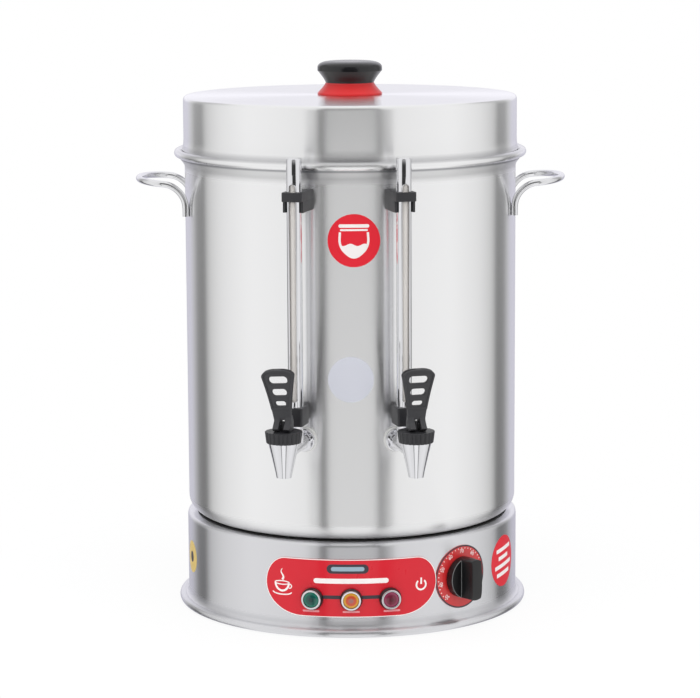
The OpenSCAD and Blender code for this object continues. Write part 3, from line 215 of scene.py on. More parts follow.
# Satin steel blurs what it mirrors up and down, across its brushing. The base's sheet is darker, the
# lid's top is more polished, and the flare, the pot's corner and the foot's cove are duller. Two
# creases get painted shade, a darker base colour: below the rim's bead, and where the lid goes down
# behind it.
satin_steel = bare_finish("satin_steel", tint(238, 238, 239), 1.0)
shader = principled(satin_steel)
shader.inputs["Anisotropic"].default_value = 1.0
shader.inputs["Anisotropic Rotation"].default_value = 0.25
nodes = satin_steel.node_tree.nodes
link = satin_steel.node_tree.links.new
grain = applied(satin_steel, ring_grain, Along=2.5, Across=1500.0)
brushed = nodes.new("ShaderNodeMapRange")
brushed.inputs["From Min"].default_value = 0.3
brushed.inputs["From Max"].default_value = 0.7
brushed.inputs["To Min"].default_value = 0.255
brushed.inputs["To Max"].default_value = 0.27
shade = nodes.new("ShaderNodeMix")
shade.data_type = "RGBA"
shade.inputs["A"].default_value = tint(244, 244, 245)
shade.inputs["B"].default_value = tint(249, 249, 249)
place = nodes.new("ShaderNodeTexCoord")
split = nodes.new("ShaderNodeSeparateXYZ")
link(grain.outputs["Grain"], brushed.inputs["Value"])
link(grain.outputs["Grain"], shade.inputs["Factor"])
link(place.outputs["Object"], split.inputs[0])


def height_share(low, high):
    """Share that grows from nothing to one between two heights in millimetres."""
    reach = nodes.new("ShaderNodeMapRange")
    reach.inputs["From Min"].default_value = 0.001 * low
    reach.inputs["From Max"].default_value = 0.001 * high
    link(split.outputs["Z"], reach.inputs["Value"])
    return reach.outputs["Result"]


def height_zone(low, high, *stops):
    """Share that goes through stops, each a height and a share, between two heights."""
    zone = nodes.new("ShaderNodeValToRGB")
    zone.color_ramp.elements[1].color = (0.0, 0.0, 0.0, 1.0)
    for height, share in stops:
        zone.color_ramp.elements.new((height - low) / (high - low)).color = (share, share, share, 1.0)
    link(height_share(low, high), zone.inputs["Fac"])
    return zone.outputs["Color"]


def towards(start, end, share):
    """Mix from a start to a fixed end, a number or a colour, by a share."""
    mix = nodes.new("ShaderNodeMix")
    mix.data_type = "RGBA" if np.ndim(end) else "FLOAT"
    mix.inputs["B"].default_value = end
    link(start, mix.inputs["A"])
    link(share, mix.inputs["Factor"])
    return mix.outputs["Result"]


dull = 0.5
polish = 0.15
cove_stops = [(7, 0), (10, 0.3), (15, 0.3), (18, 0)]
corner_stops = [(100.9, 0), (101, 0.3), (110, 0.3), (118, 0)]
flare_stops = [(476, 0), (482, 1), (490.6, 1), (491.5, 0)]
bead_shade_stops = [(488.2, 0), (489.9, 1), (491, 1), (491.5, 0)]
seam_shade_stops = [(497, 0), (498.5, 0.55), (501.5, 0.55), (505.5, 0)]
finish = towards(brushed.outputs["Result"], dull, height_zone(0, 140, *cove_stops, *corner_stops))
finish = towards(finish, dull, height_zone(470, 510, *flare_stops))
finish = towards(finish, polish, height_share(555.6, 556.6))
tone = towards(shade.outputs["Result"], tint(225, 225, 228), height_share(101.0, 100.5))
# Painted shade: the base colour darkens in a thin band below the rim's bead and where the lid goes down
# behind it.
tone = towards(tone, tint(188, 188, 191), height_zone(470, 510, *bead_shade_stops, *seam_shade_stops))
link(finish, shader.inputs["Roughness"])
link(tone, shader.inputs["Base Color"])

wall_r = 180.0
sheet = 1.0
inner_r = wall_r - sheet
floor_z = 101.0
flare_z = 482.9
bead_r = 4.3
bead = (187.0, 495.7)
corner_r = 18.0
corner_z = floor_z + corner_r
pot_corner = arc((wall_r - corner_r, corner_z), corner_r, -90, 0, 20)
pot_side = rounded([(wall_r, corner_z), (wall_r, flare_z), (186.6, 491.4)], [0, 3, 0], False)
rim_bead = arc(bead, bead_r, -95, 250, 40)
flare_inside = rounded([(185.5, 491.7), (inner_r, flare_z + 0.3), (inner_r, corner_z)], [0, 3, 0], False)
inner_corner = arc((wall_r - corner_r, corner_z), corner_r - sheet, 0, -90, 20)
pot_profile = np.vstack([[(0, floor_z)], pot_corner, pot_side[1:], rim_bead, flare_inside, inner_corner[1:]])
pot_profile = np.vstack([pot_profile, [(0, floor_z + sheet)]])
pot = woven("pot", turned(pot_profile, 288))
fitted(pot, satin_steel, "urn", "satin_steel", "vessel_floor", "vessel_wall", "vessel_rim")

# Lid: a deep cover, drawn from one sheet. Its skirt sits in the flare of the pot's rim and swells a
# little just above it, and its flat top is more polished than the sides.
lid_r = 181.0
lid_sheet = 0.9
lid_in_r = lid_r - lid_sheet
lid_z = 1000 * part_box("lid")[0].z
lid_top = 1000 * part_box("lid")[1].z
lid_under = lid_top - lid_sheet
swell_z = 512.0
swell_h = 13.0
swell_out = 1.5
seat_z = 496.0
lid_corners = [(0, lid_top), (40, lid_top), (lid_r - 6, lid_top), (lid_r, lid_top), (lid_r, swell_z)]
lid_outside = rounded(lid_corners, [0, 0, 0, 5.0, 0], False)
u = np.linspace(0.0, 1.0, 15)
lid_swell = np.stack([lid_r + swell_out * u**2, swell_z - swell_h * u], axis=-1)
lid_corners = [(lid_r, seat_z), (lid_r, lid_z), (lid_in_r, lid_z), (lid_in_r, lid_under), (0, lid_under)]
lid_inside = rounded(lid_corners, [0, 0.3, 0.3, 4.0, 0], False)
lid_profile = np.vstack([lid_outside, lid_swell[1:], lid_inside])
fitted(woven("cover", turned(lid_profile, 288)), satin_steel, "lid", "satin_steel", "lid")

# Lid knob: a red collar that tapers up from the lid, and a black cap that tapers down to meet it,
# with an upright brim and a low dome. Both are moulded plastic, and a screw from below holds them.

# Handling and cleaning leave a surface a little uneven: noise moves the roughness between two ends.
wear_inputs = {"Scale": "Float", "Smooth": "Float", "Coarse": "Float"}
wear, wear_in, wear_out = effect_group("wear", wear_inputs, {"Roughness": "Float"})
place = wear.nodes.new("ShaderNodeTexCoord")
cloud = wear.nodes.new("ShaderNodeTexNoise")
cloud.inputs["Detail"].default_value = 3.0
spread = wear.nodes.new("ShaderNodeMapRange")
spread.inputs["From Min"].default_value = 0.3
spread.inputs["From Max"].default_value = 0.7
wire = wear.links.new
wire(place.outputs["Object"], cloud.inputs["Vector"])
wire(wear_in.outputs["Scale"], cloud.inputs["Scale"])
wire(cloud.outputs["Fac"], spread.inputs["Value"])
wire(wear_in.outputs["Smooth"], spread.inputs["To Min"])
wire(wear_in.outputs["Coarse"], spread.inputs["To Max"])
wire(spread.outputs["Result"], wear_out.inputs["Roughness"])

# A mould leaves plastic a fine pebbled skin, whose height is noise.
moulded_skin, skin_in, skin_out = effect_group("moulded_skin", {"Scale": "Float"}, {"Height": "Float"})
place = moulded_skin.nodes.new("ShaderNodeTexCoord")
pebble = moulded_skin.nodes.new("ShaderNodeTexNoise")
pebble.inputs["Detail"].default_value = 2.0
wire = moulded_skin.links.new
wire(place.outputs["Object"], pebble.inputs["Vector"])
wire(skin_in.outputs["Scale"], pebble.inputs["Scale"])
wire(pebble.outputs["Fac"], skin_out.inputs["Height"])


def plain_finish(name, colour, roughness, metallic=0.0):
    """Material of one colour, whose roughness wear moves by an eighth either way."""
    material = bare_finish(name, colour, metallic)
    patina = applied(material, wear, Scale=45.0, Smooth=roughness * 0.875, Coarse=roughness * 1.125)
    material.node_tree.links.new(patina.outputs["Roughness"], principled(material).inputs["Roughness"])
    return material


def moulded_finish(name, colour, roughness, coat, grain_scale, grain_depth):
    """Plastic with a moulded skin, of a scale and a depth in metres, that lifts its surface."""
    material = plain_finish(name, colour, roughness)
    shader = principled(material)
    shader.inputs["Coat Weight"].default_value = coat
    shader.inputs["Coat Roughness"].default_value = 0.12
    skin = applied(material, moulded_skin, Scale=grain_scale)
    relief = material.node_tree.nodes.new("ShaderNodeBump")
    relief.inputs["Strength"].default_value = 0.4
    relief.inputs["Distance"].default_value = grain_depth
    material.node_tree.links.new(skin.outputs["Height"], relief.inputs["Height"])
    material.node_tree.links.new(relief.outputs["Normal"], shader.inputs["Normal"])
    return material


red_plastic = moulded_finish("red_plastic", tint(210, 24, 28), 0.36, 0.08, 900.0, 0.00005)
black_cap = moulded_finish("black_cap", tint(9, 8, 12), 0.24, 0.15, 900.0, 0.00004)
collar_z = 1000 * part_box("lid_knob_collar")[0].z
cap_z = 1000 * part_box("lid_knob_cap")[0].z
waist_r = 26.2
knob_r = 35.0
lip_h = 2.0
u = np.linspace(0.0, 1.0, 24)
taper = waist_r + (knob_r - waist_r) * (1 - u) ** 1.25
collar_side = np.stack([taper, collar_z + lip_h + (cap_z - collar_z - lip_h) * u], axis=-1)
collar_edge = rounded([(0, collar_z), (knob_r, collar_z), (knob_r, collar_z + lip_h)], [0, 0.5, 0], False)
collar_profile = np.vstack([collar_edge, collar_side[1:], [(0, cap_z)]])
fitted(woven("knob_collar", turned(collar_profile)), red_plastic, "lid", "red_plastic", "lid_knob_collar")
brim_h = 13.0
edge_h = 3.5
dome_h = 7.0
cap_under = np.stack([waist_r + (knob_r - waist_r) * u**1.25, cap_z + brim_h * u], axis=-1)
quarter = np.radians(90 * u)
dome_lift = cap_z + brim_h + edge_h + dome_h * np.sin(quarter)
cap_dome = np.stack([knob_r * np.abs(np.cos(quarter)) ** 0.35, dome_lift], axis=-1)
cap_profile = np.vstack([[(0, cap_z)], cap_under, cap_dome[:-1], [(0, dome_lift[-1])]])
fitted(woven("knob_cap", turned(cap_profile)), black_cap, "lid", "black_plastic", "lid_knob_cap")

# Base: the drum that the pot stands on, of the same brushed sheet. Its top turns in to a ledge,
# and its foot coves out to a rolled bead.
base_r = 181.7
base_top = 100.0
ledge_r = 150.0
cove_r = 5.0
cove_z = 12.9
foot_bead = (187.29, 4.8)
drum_out = rounded([(ledge_r, base_top), (base_r, base_top), (base_r, cove_z)], [0, 5.0, 0], False)
cove_out = arc((base_r + cove_r, cove_z), cove_r, 180, 248, 14)
cove_in = arc((base_r + cove_r, cove_z), cove_r + sheet, 245, 180, 14)
drum_in_r = base_r - sheet
ledge_low = base_top - sheet
drum_in = rounded([(drum_in_r, cove_z), (drum_in_r, ledge_low), (ledge_r, ledge_low)], [0, 4.0, 0], False)
foot_roll = arc(foot_bead, bead_r, 128, -218, 40)
drum_profile = np.vstack([drum_out, cove_out[1:], foot_roll, cove_in, drum_in[1:]])
drum = woven("base_drum", turned(drum_profile, 288), wrap_rows=True)
fitted(drum, satin_steel, "urn", "satin_steel", "base_housing")

# Seat gasket: a flat ring of black rubber between the pot's floor and the base's ledge. It shows as
# a thin dark line.
rubber = plain_finish("rubber", tint(26, 25, 26), 0.7)
gasket_r = 171.0
gasket_z = base_top + 0.02
gasket_corners = [(ledge_r, gasket_z), (gasket_r, gasket_z), (gasket_r, floor_z), (ledge_r, floor_z)]
gasket_profile = rounded(gasket_corners, [0.2, 0.3, 0.3, 0.2])
gasket = woven("gasket_ring", turned(gasket_profile, 192), wrap_rows=True)
fitted(gasket, rubber, "urn", "black_rubber", "seat_gasket")

# Handles: bright steel rod bent to a wide loop that rises a little outwards. Each end turns down
# along the wall and is welded on.


def rod(path, radius, sides=28):
    """Round rod: a circle carried along the path, square to it, with a closed disc at each end."""
    path = np.asarray(path, float)
    run = np.gradient(path, axis=0)
    run = run / np.linalg.norm(run, axis=1, keepdims=True)
    aside = np.cross(run, [0.52, 0.37, 0.77])
    aside = aside / np.linalg.norm(aside, axis=1, keepdims=True)
    angle = np.linspace(0.0, 2 * np.pi, sides, endpoint=False)[None, :, None]
    ring = np.cos(angle) * aside[:, None] + np.sin(angle) * np.cross(run, aside)[:, None]
    wall = path[:, None] + radius * ring
    first = np.broadcast_to(path[0], (1, sides, 3))
    last = np.broadcast_to(path[-1], (1, sides, 3))
    return np.concatenate([first, wall, last])


bright_rod = plain_finish("bright_rod", tint(232, 232, 234), 0.12, 1.0)
rod_r = 3.5
leg_x = 176.6
leg_half = 50.0
grip_x = 230.0
handle_z = 463.0
grip_rise = 4.5
leg_low = 430.0
leg_bend = 24.0
arm_x = leg_x + leg_bend
leg_turn = arc((arm_x, handle_z - leg_bend), leg_bend, 180, 90, 14)
leg_line = np.stack([leg_turn[:, 0], np.full(14, -leg_half), leg_turn[:, 1]], axis=-1)
sweep = np.radians(np.linspace(-90, 90, 49))[1:-1]
grip_y = leg_half * np.sin(sweep)
grip_line = np.stack([arm_x + (grip_x - arm_x) * np.cos(sweep), grip_y, np.full(47, handle_z)], axis=-1)
loop = np.vstack([[(leg_x, -leg_half, leg_low)], leg_line, grip_line, leg_line[::-1] * [1, -1, 1]])
loop = np.vstack([loop, [(leg_x, leg_half, leg_low)]])
loop[:, 2] += grip_rise * (loop[:, 0] - leg_x) / (grip_x - leg_x)
for hand, name in ((-1, "left"), (1, "right")):
    grip = woven(name + "_grip", rod(loop * [hand, 1, 1], rod_r))
    fitted(grip, bright_rod, "urn", "polished_rod", name + "_handle")

# Taps: on each side a hollow chromed spout with a side boss, on a shank through the pot's wall. A
# black ribbed bonnet screws on the spout, and a washer seals the wall.


def outward(az):
    """Level direction away from the urn's axis, at an angle from the front towards the right."""
    return np.array([np.sin(np.radians(az)), -np.cos(np.radians(az)), 0.0])


chrome = plain_finish("chrome", tint(232, 232, 235), 0.06, 1.0)
black_plastic = moulded_finish("black_plastic", tint(40, 40, 43), 0.42, 0.0, 1400.0, 0.00006)
tap_az = 15.2
tap_z = 210.0
spout_r = 256.0
spout_low = 185.0
spout_top = 221.0
mouth_r = 7.75
crown_r = 16.0
chamber_r = 8.0
chamber_low = 203.5
outlet_r = 5.2
sides = {"left": -tap_az, "right": tap_az}
u = np.linspace(0.0, 1.0, 22)
spout_rise = spout_low + (spout_top - spout_low) * u
spout_side = np.stack([mouth_r + (crown_r - mouth_r) * u**1.1, spout_rise], axis=-1)
bore_corners = [(crown_r, spout_top), (chamber_r, spout_top), (chamber_r, chamber_low)]
bore_corners += [(outlet_r, chamber_low), (outlet_r, spout_low), (mouth_r, spout_low)]
spout_bore = rounded(bore_corners, [0, 0, 0, 0, 0.5, 0], False)
spout_profile = np.vstack([spout_bore, spout_side])
boss_r = 9.0
boss_in = 239.0
boss_out = 247.0
boss_corners = [(0, boss_in), (boss_r, boss_in), (boss_r, boss_out), (0, boss_out)]
boss_profile = rounded(boss_corners, [0, 0.8, 0, 0], False)
shank_r = 8.0
shank_in = 160.0
shank_out = 238.95
collar_r = 12.0
collar_in = 183.05
collar_out = 187.05
shank_corners = [(0, shank_in), (shank_r, shank_in), (shank_r, collar_in), (collar_r, collar_in)]
shank_corners += [(collar_r, collar_out), (shank_r, collar_out), (shank_r, shank_out), (0, shank_out)]
shank_profile = rounded(shank_corners, [0, 0.6, 0, 0.4, 1.2, 0.5, 0.3, 0], False)
gauge_r = 213.0
riser_r = 7.9
riser_top = 225.0
riser_corners = [(0, tap_z), (riser_r, tap_z), (riser_r, riser_top), (0, riser_top)]
riser_profile = rounded(riser_corners, [0, 0.5, 0.5, 0], False)

# The bonnet's radius dips in shallow flutes between its two rounded edges.
flute_count = 24
bonnet_low = 221.05
bonnet_top = 233.0
bonnet_low_r = 17.7
bonnet_top_r = 19.2
dimple_r = 3.0
dimple_z = bonnet_top - 2
bonnet_corners = [(0, bonnet_low), (bonnet_low_r, bonnet_low), (bonnet_top_r, bonnet_top)]
bonnet_corners += [(dimple_r, bonnet_top), (dimple_r, dimple_z), (0, dimple_z)]
bonnet_row = rounded(bonnet_corners, [0, 0.8, 1.2, 0.3, 0.3, 0], False)
bonnet_angle = np.linspace(0.0, 2 * np.pi, flute_count * 12, endpoint=False)
flute = np.clip(np.cos(flute_count * bonnet_angle) - 0.1, 0.0, 1.0)
flute_share = np.clip((bonnet_row[:, 0] - 14.5) / 2.5, 0.0, 1.0)
bonnet_r = bonnet_row[:, :1] - flute_share[:, None] * flute[None]
for name, az in sides.items():
    out = outward(az)
    spout_grids = [turned(spout_profile, 64, spout_r * out), turned(boss_profile, 48, (0, 0, tap_z), out)]
    fitted(woven(name + "_spout", *spout_grids), chrome, "urn", "chrome", name + "_tap_spout")
    shank_grids = [turned(shank_profile, 48, (0, 0, tap_z), out), turned(riser_profile, 48, gauge_r * out)]
    fitted(woven(name + "_shank", *shank_grids), chrome, "urn", "chrome", name + "_tap_shank")
    spread = np.stack([np.cos(bonnet_angle), np.sin(bonnet_angle), 0 * bonnet_angle], axis=-1)
    bonnet_grid = bonnet_r[:, :, None] * spread[None] + spout_r * out
    bonnet_grid[:, :, 2] += bonnet_row[:, 1:]
    fitted(woven(name + "_bonnet", bonnet_grid), black_plastic, "urn", "black_plastic", name + "_tap_bonnet")

# Tap levers: black moulded blades with three finger slots and a raised rim. The foot is a forked
# cam that straddles the valve stem on a pin, and rides on the bonnet.


def filled(curve):
    """Mesh of a filled curve, with its points merged and its faces turned outwards."""
    holder = bpy.data.objects.new("holder", curve)
    bpy.context.scene.collection.objects.link(holder)
    mesh = bpy.data.meshes.new_from_object(holder.evaluated_get(bpy.context.evaluated_depsgraph_get()))
    bpy.data.objects.remove(holder)
    bpy.data.curves.remove(curve)
    work = bmesh.new()
    work.from_mesh(mesh)
    bmesh.ops.remove_doubles(work, verts=work.verts, dist=1e-4)
    bmesh.ops.recalc_face_normals(work, faces=work.faces)
    work.to_mesh(mesh)
    work.free()
    return mesh


def slab(name, outlines, thickness, edge):
    """Flat plate with holes: closed outlines filled, given a thickness both ways from their
    plane and a rounded edge. Returns its mesh, in millimetres, with its faces merged."""
    curve = bpy.data.curves.new(name, "CURVE")
    curve.dimensions = "2D"
    curve.fill_mode = "BOTH"
    curve.extrude = thickness / 2 - edge
    curve.bevel_depth = edge
    curve.bevel_resolution = 2
    curve.offset = -edge
    for outline in outlines:
        spline = curve.splines.new("POLY")
        spline.points.add(len(outline) - 1)
        flat_points = np.zeros((len(outline), 4))
        flat_points[:, :2] = outline
        flat_points[:, 3] = 1.0
        spline.points.foreach_set("co", flat_points.ravel())
        spline.use_cyclic_u = True
    return filled(curve)


def placed(name, meshes, *moves, sharp=38.0):
    """One piece of several flat meshes: each move, a function of points, puts its mesh in place."""
    work = bmesh.new()
    for mesh, move in zip(meshes, moves):
        points = np.zeros(3 * len(mesh.vertices))
        mesh.vertices.foreach_get("co", points)
        mesh.vertices.foreach_set("co", (move(points.reshape(-1, 3)) * 0.001).ravel())
        work.from_mesh(mesh)
        bpy.data.meshes.remove(mesh)
    whole = bpy.data.meshes.new(name)
    work.to_mesh(whole)
    work.free()
    whole.shade_smooth()
    whole.set_sharp_from_angle(angle=np.radians(sharp))
    piece = bpy.data.objects.new(name, whole)
    bpy.context.scene.collection.objects.link(piece)
    return piece


def at_tap(right, inward, up, az, reach, height):
    """Points given to the right, towards the axis and up, set at a reach and angle from the axis."""
    out = outward(az)
    along = np.array([-out[1], out[0], 0.0])
    place = right[:, None] * along - inward[:, None] * out + up[:, None] * np.array([0.0, 0.0, 1.0])
    return place + reach * out + np.array([0.0, 0.0, height])


lever_plastic = moulded_finish("lever_plastic", tint(52, 52, 55), 0.48, 0.0, 1400.0, 0.00008)
pin_z = 240.0
lean = np.radians(9.0)
sways = {"left": 3.5, "right": 0.0}
blade_h = 58.5
crown_h = 7.0
blade_t = 5.0
fork_half = 2.8
fork_top = 5.0
foot_w = 17.5
head_w = 34.0
u = np.linspace(0.0, 1.0, 20)
blade_half = (foot_w + (head_w - foot_w) * u**1.5) / 2
blade_side = np.stack([blade_half, (blade_h - crown_h) * u], axis=-1)
quarter = np.radians(90 * u[1:])
crown_rise = blade_h - crown_h + crown_h * np.sin(quarter)
crown = np.stack([head_w / 2 * np.abs(np.cos(quarter)) ** 0.7, crown_rise], axis=-1)
right_edge = np.vstack([[(fork_half, fork_top)], [(fork_half, 0)], blade_side, crown[:-1]])
blade_outline = np.vstack([right_edge, [crown[-1]], right_edge[::-1] * [-1, 1]])

# The rim follows the blade's edge from a third of its height up, and stands out on both faces.
rim_w = 2.2
rim_lift = 0.9
rim_side = blade_side[7:] - [rim_w, 0]
rim_crown = (crown - [0, blade_h - crown_h]) * (1 - rim_w / np.array([head_w / 2, crown_h]))
rim_inside = np.vstack([rim_side, rim_crown[:-1] + [0, blade_h - crown_h]])
rim_outside = np.vstack([blade_side[6:], crown[:-1]])
rim_outlines = [np.vstack([half, half[::-1] * [-1, 1]]) for half in (rim_outside, rim_inside)]


def slot_outline(width, height, centre_up):
    """Long hole with half round ends, round a centre on the blade's middle line."""
    reach = (width - height) / 2
    right_end = arc((reach, centre_up), height / 2, -90, 90, 12)
    left_end = arc((-reach, centre_up), height / 2, 90, 270, 12)
    return np.vstack([right_end, left_end])


finger_slots = [(20, 8, 11), (16, 7.5, 24), (11.5, 5.5, 36)]
blade_outlines = [blade_outline] + [slot_outline(w, h, blade_h - d) for w, h, d in finger_slots]

# The cam's edge is the envelope of a line that rises evenly with the pull, by the valve's lift.
full_pull = np.radians(50.0)
valve_lift = 4.0
cam_low = 6.7
pull = np.linspace(0.0, full_pull, 14)
cam_rate = valve_lift / full_pull
cam_lift = cam_low + cam_rate * pull
cam_out = cam_lift * np.sin(pull) + cam_rate * np.cos(pull)
cam_up = cam_rate * np.sin(pull) - cam_lift * np.cos(pull)
heel = [(4.5, 4), (3.5, 9), (-3.5, 9), (-7, 2), (-7, -5.7), (-6, -6.7)]
cam_outline = np.vstack([np.stack([cam_out, cam_up], axis=-1), heel])
cheek_w = 8.75 - fork_half
for name, az in sides.items():

    def stand_blade(points, sway=np.radians(sways[name])):
        """The blade's outline stands on the pin, sways to the left and leans outwards."""
        right = points[:, 0] * np.cos(sway) - points[:, 1] * np.sin(sway)
        along_blade = points[:, 0] * np.sin(sway) + points[:, 1] * np.cos(sway)
        inward = points[:, 2] * np.cos(lean) - along_blade * np.sin(lean)
        up = along_blade * np.cos(lean) + points[:, 2] * np.sin(lean)
        return at_tap(right, inward, up, az, spout_r, pin_z)

    def stand_cheek(points, side=1):
        """A cam cheek's outline lies in the plane of the pull, beside the stem."""
        right = points[:, 2] + side * (fork_half + cheek_w / 2)
        return at_tap(right, -points[:, 0], points[:, 1], az, spout_r, pin_z)

    def stand_other_cheek(points):
        """The cheek on the stem's other side."""
        return stand_cheek(points, -1)

    blade = slab(name + "_blade", blade_outlines, blade_t, 0.9)
    rim = slab(name + "_rim", rim_outlines, blade_t + 2 * rim_lift, 0.7)
    cheeks = [slab(name + "_cheek", [cam_outline], cheek_w, 0.4) for _ in range(2)]
    moves = [stand_blade, stand_blade, stand_cheek, stand_other_cheek]
    lever = placed(name + "_lever", [blade, rim] + cheeks, *moves)
    fitted(lever, lever_plastic, name + "_lever", "black_plastic", name + "_tap_lever")

# Gauge guards: chromed tubes, closed at the top, with a sight slot down the front. The glass
# stands inside, and the tube sits on the shank's riser.
guard_r = 7.9
guard_low = riser_top + 0.05
guard_top = 506.5
slot_half = 3.75
slot_low = 256.0
slot_high = 480.0
rows_z = np.concatenate(
    [
        [guard_low, 240.0],
        slot_low + slot_half - slot_half * np.cos(np.linspace(0.0, np.pi / 2, 12)),
        np.linspace(slot_low + 12, slot_high - 12, 12),
        slot_high - slot_half + slot_half * np.sin(np.linspace(0.0, np.pi / 2, 12)),
        [490.0],
    ]
)
past_end = np.clip(np.maximum(slot_low + slot_half - rows_z, rows_z - slot_high + slot_half), 0, slot_half)
half_open = np.sqrt(slot_half**2 - past_end**2)
gap = np.arcsin(np.where((rows_z < slot_low) | (rows_z > slot_high), 0.0, half_open) / guard_r)
share = np.linspace(0.0, 1.0, 49)
turn = gap[:, None] + share[None] * (2 * np.pi - 2 * gap[:, None])
dome = np.radians(np.linspace(0.0, 90.0, 7))
cap_edge = 1.5
cap_rows_r = np.concatenate([guard_r - cap_edge + cap_edge * np.cos(dome), [0.0]])
cap_rows_z = np.concatenate([guard_top - cap_edge + cap_edge * np.sin(dome), [guard_top]])
cap_turn = np.broadcast_to(share * 2 * np.pi, (len(cap_rows_r), len(share)))
all_turn = np.vstack([turn, cap_turn])
all_r = np.concatenate([np.full(len(rows_z), guard_r), cap_rows_r])
all_z = np.concatenate([rows_z, cap_rows_z])
glass_r = 5.5
glass_bore = 4.2
glass_low = 230.1
glass_top = 498.0
glass_corners = [(glass_r, glass_low), (glass_r, glass_top), (glass_bore, glass_top), (glass_bore, glass_low)]
glass_profile = rounded(glass_corners, 0.3)
gauge_glass = plain_finish("gauge_glass", tint(246, 242, 238), 0.08)
shader = principled(gauge_glass)
shader.inputs["Transmission Weight"].default_value = 0.35
shader.inputs["IOR"].default_value = 1.47
for name, az in sides.items():
    out = outward(az)
    along = np.array([-out[1], out[0], 0.0])
    ring = np.cos(all_turn)[:, :, None] * out + np.sin(all_turn)[:, :, None] * along
    guard_grid = all_r[:, None, None] * ring + gauge_r * out
    guard_grid[:, :, 2] += all_z[:, None]
    guard = woven(name + "_guard", guard_grid, wrap_columns=False)
    wall = guard.modifiers.new("wall", "SOLIDIFY")
    wall.thickness = 0.001
    wall.offset = -1.0
    fitted(guard, chrome, "urn", "chrome", name + "_gauge_guard")
    glass = woven(name + "_glass", turned(glass_profile, 40, gauge_r * out), wrap_rows=True)
    fitted(glass, gauge_glass, "urn", "gauge_glass", name + "_gauge_glass")

# Gauge brackets: black blocks that carry each guard off the wall. The upper one is open at the
# front below its bar, so that the sight slot stays clear. The lower one has a narrow neck.
bracket_half = 10.75
bracket_front = -223.1
cheek_front = -217.0
bore_r = 7.95
bracket_back = wall_r + 0.1
wall_x = np.linspace(bracket_half, -bracket_half, 9)
wall_line = np.stack([wall_x, -np.sqrt(bracket_back**2 - wall_x**2)], axis=-1)
front_edge = [(-bracket_half, bracket_front), (bracket_half, bracket_front)]
front_corners = rounded([wall_line[-1], *front_edge, wall_line[0]], [0, 2.5, 2.5, 0], False)
block_outline = np.vstack([wall_line, front_corners[1:-1]])
bore_outline = arc((0, -gauge_r), bore_r, 0, 360, 49)[:-1]
throat = arc((0, -gauge_r), bore_r, 0, 180, 25)
open_outline = np.vstack(
    [
        wall_line,
        [(-bracket_half, cheek_front), (-bore_r, cheek_front)],
        throat[::-1],
        [(bore_r, cheek_front), (bracket_half, cheek_front)],
    ]
)
neck_half = 4.5
neck_front = -197.0
head_half = 9.6
neck_x = np.linspace(neck_half, -neck_half, 5)
neck_wall = np.stack([neck_x, -np.sqrt(bracket_back**2 - neck_x**2)], axis=-1)
left_head = [(-neck_half, neck_front), (-head_half, neck_front), (-head_half, bracket_front)]
right_head = [(head_half, bracket_front), (head_half, neck_front), (neck_half, neck_front)]
head_reach = [0, 1.5, 2.0, 2.5, 2.5, 2.0, 1.5, 0]
head_line = rounded([neck_wall[-1], *left_head, *right_head, neck_wall[0]], head_reach, False)
neck_outline = np.vstack([neck_wall, head_line[1:-1]])
low_block_z = 231.0
low_block_h = 19.0
bar_z = 462.5
bar_h = 9.5
fork_z = 451.0
fork_h = 12.0
for name, az in sides.items():

    def stack_at(height, low_z):
        """Move for a block's plan: it lies level, round the urn's axis, from low_z upwards."""
        return lambda points: at_tap(points[:, 0], points[:, 1], points[:, 2] + height / 2, az, 0.0, low_z)

    block = slab("block", [neck_outline, bore_outline], low_block_h, 0.5)
    lower = placed(name + "_low_bracket", [block], stack_at(low_block_h, low_block_z))
    fitted(lower, black_plastic, "urn", "black_plastic", name + "_lower_bracket")
    bar = slab("bar", [block_outline, bore_outline], bar_h, 0.5)
    fork = slab("fork", [open_outline], fork_h, 0.5)
    upper = placed(name + "_high_bracket", [bar, fork], stack_at(bar_h, bar_z), stack_at(fork_h, fork_z))
    fitted(upper, black_plastic, "urn", "black_plastic", name + "_upper_bracket")

# Control panel: a red enamelled plate, bent to the drum, with a thin pale line just inside its edge,
# a painted highlight of that edge. Its prints are plain shapes: a pill, bars, a steaming cup, a
# power sign, and a line that links the lamps.


def wrapped(across, up, radius, az, height):
    """Points on an upright cylinder: a distance across is an arc length round the base drum."""
    angle = np.radians(az) + across / base_r
    return np.stack([radius * np.sin(angle), -radius * np.cos(angle), height + up + 0 * angle], axis=-1)


def patch(outline, radius, lift, az, height, centre=(0.0, 0.0), rings=9):
    """Thin plate bent to a cylinder: its outline shrinks to the centre on the outer face, and
    grows again on the back, so that the plate is closed."""
    spread = np.concatenate([np.linspace(0.0, 1.0, rings), np.linspace(1.0, 0.0, rings)])
    out = np.concatenate([np.full(rings, radius + lift), np.full(rings, radius)])
    points = np.asarray(centre) + spread[:, None, None] * (np.asarray(outline) - np.asarray(centre))
    return wrapped(points[:, :, 0], points[:, :, 1], out[:, None], az, height)


def ribbon(line, width, radius, lift, az, height, closed=False):
    """Thin strip along a line on a cylinder, of one width or of a width for each point: its
    section, a flat box, is carried along the line, square to it."""
    line = np.asarray(line, float)
    run = np.roll(line, -1, axis=0) - np.roll(line, 1, axis=0) if closed else np.gradient(line, axis=0)
    run = run / np.linalg.norm(run, axis=1, keepdims=True)
    square = np.stack([-run[:, 1], run[:, 0]], axis=-1)
    half = np.asarray(width) / 2 * np.ones(len(line))
    offset = half[:, None] * np.array([-1.0, 1.0, 1.0, -1.0])
    out = np.broadcast_to(radius + lift * np.array([1.0, 1.0, 0.0, 0.0]), offset.shape)
    points = line[:, None] + offset[:, :, None] * square[:, None]
    strip = wrapped(points[:, :, 0], points[:, :, 1], out, az, height)
    if closed:
        return strip
    first = np.broadcast_to(strip[:1].mean(axis=1, keepdims=True), strip[:1].shape)
    last = np.broadcast_to(strip[-1:].mean(axis=1, keepdims=True), strip[-1:].shape)
    return np.concatenate([first, strip, last])


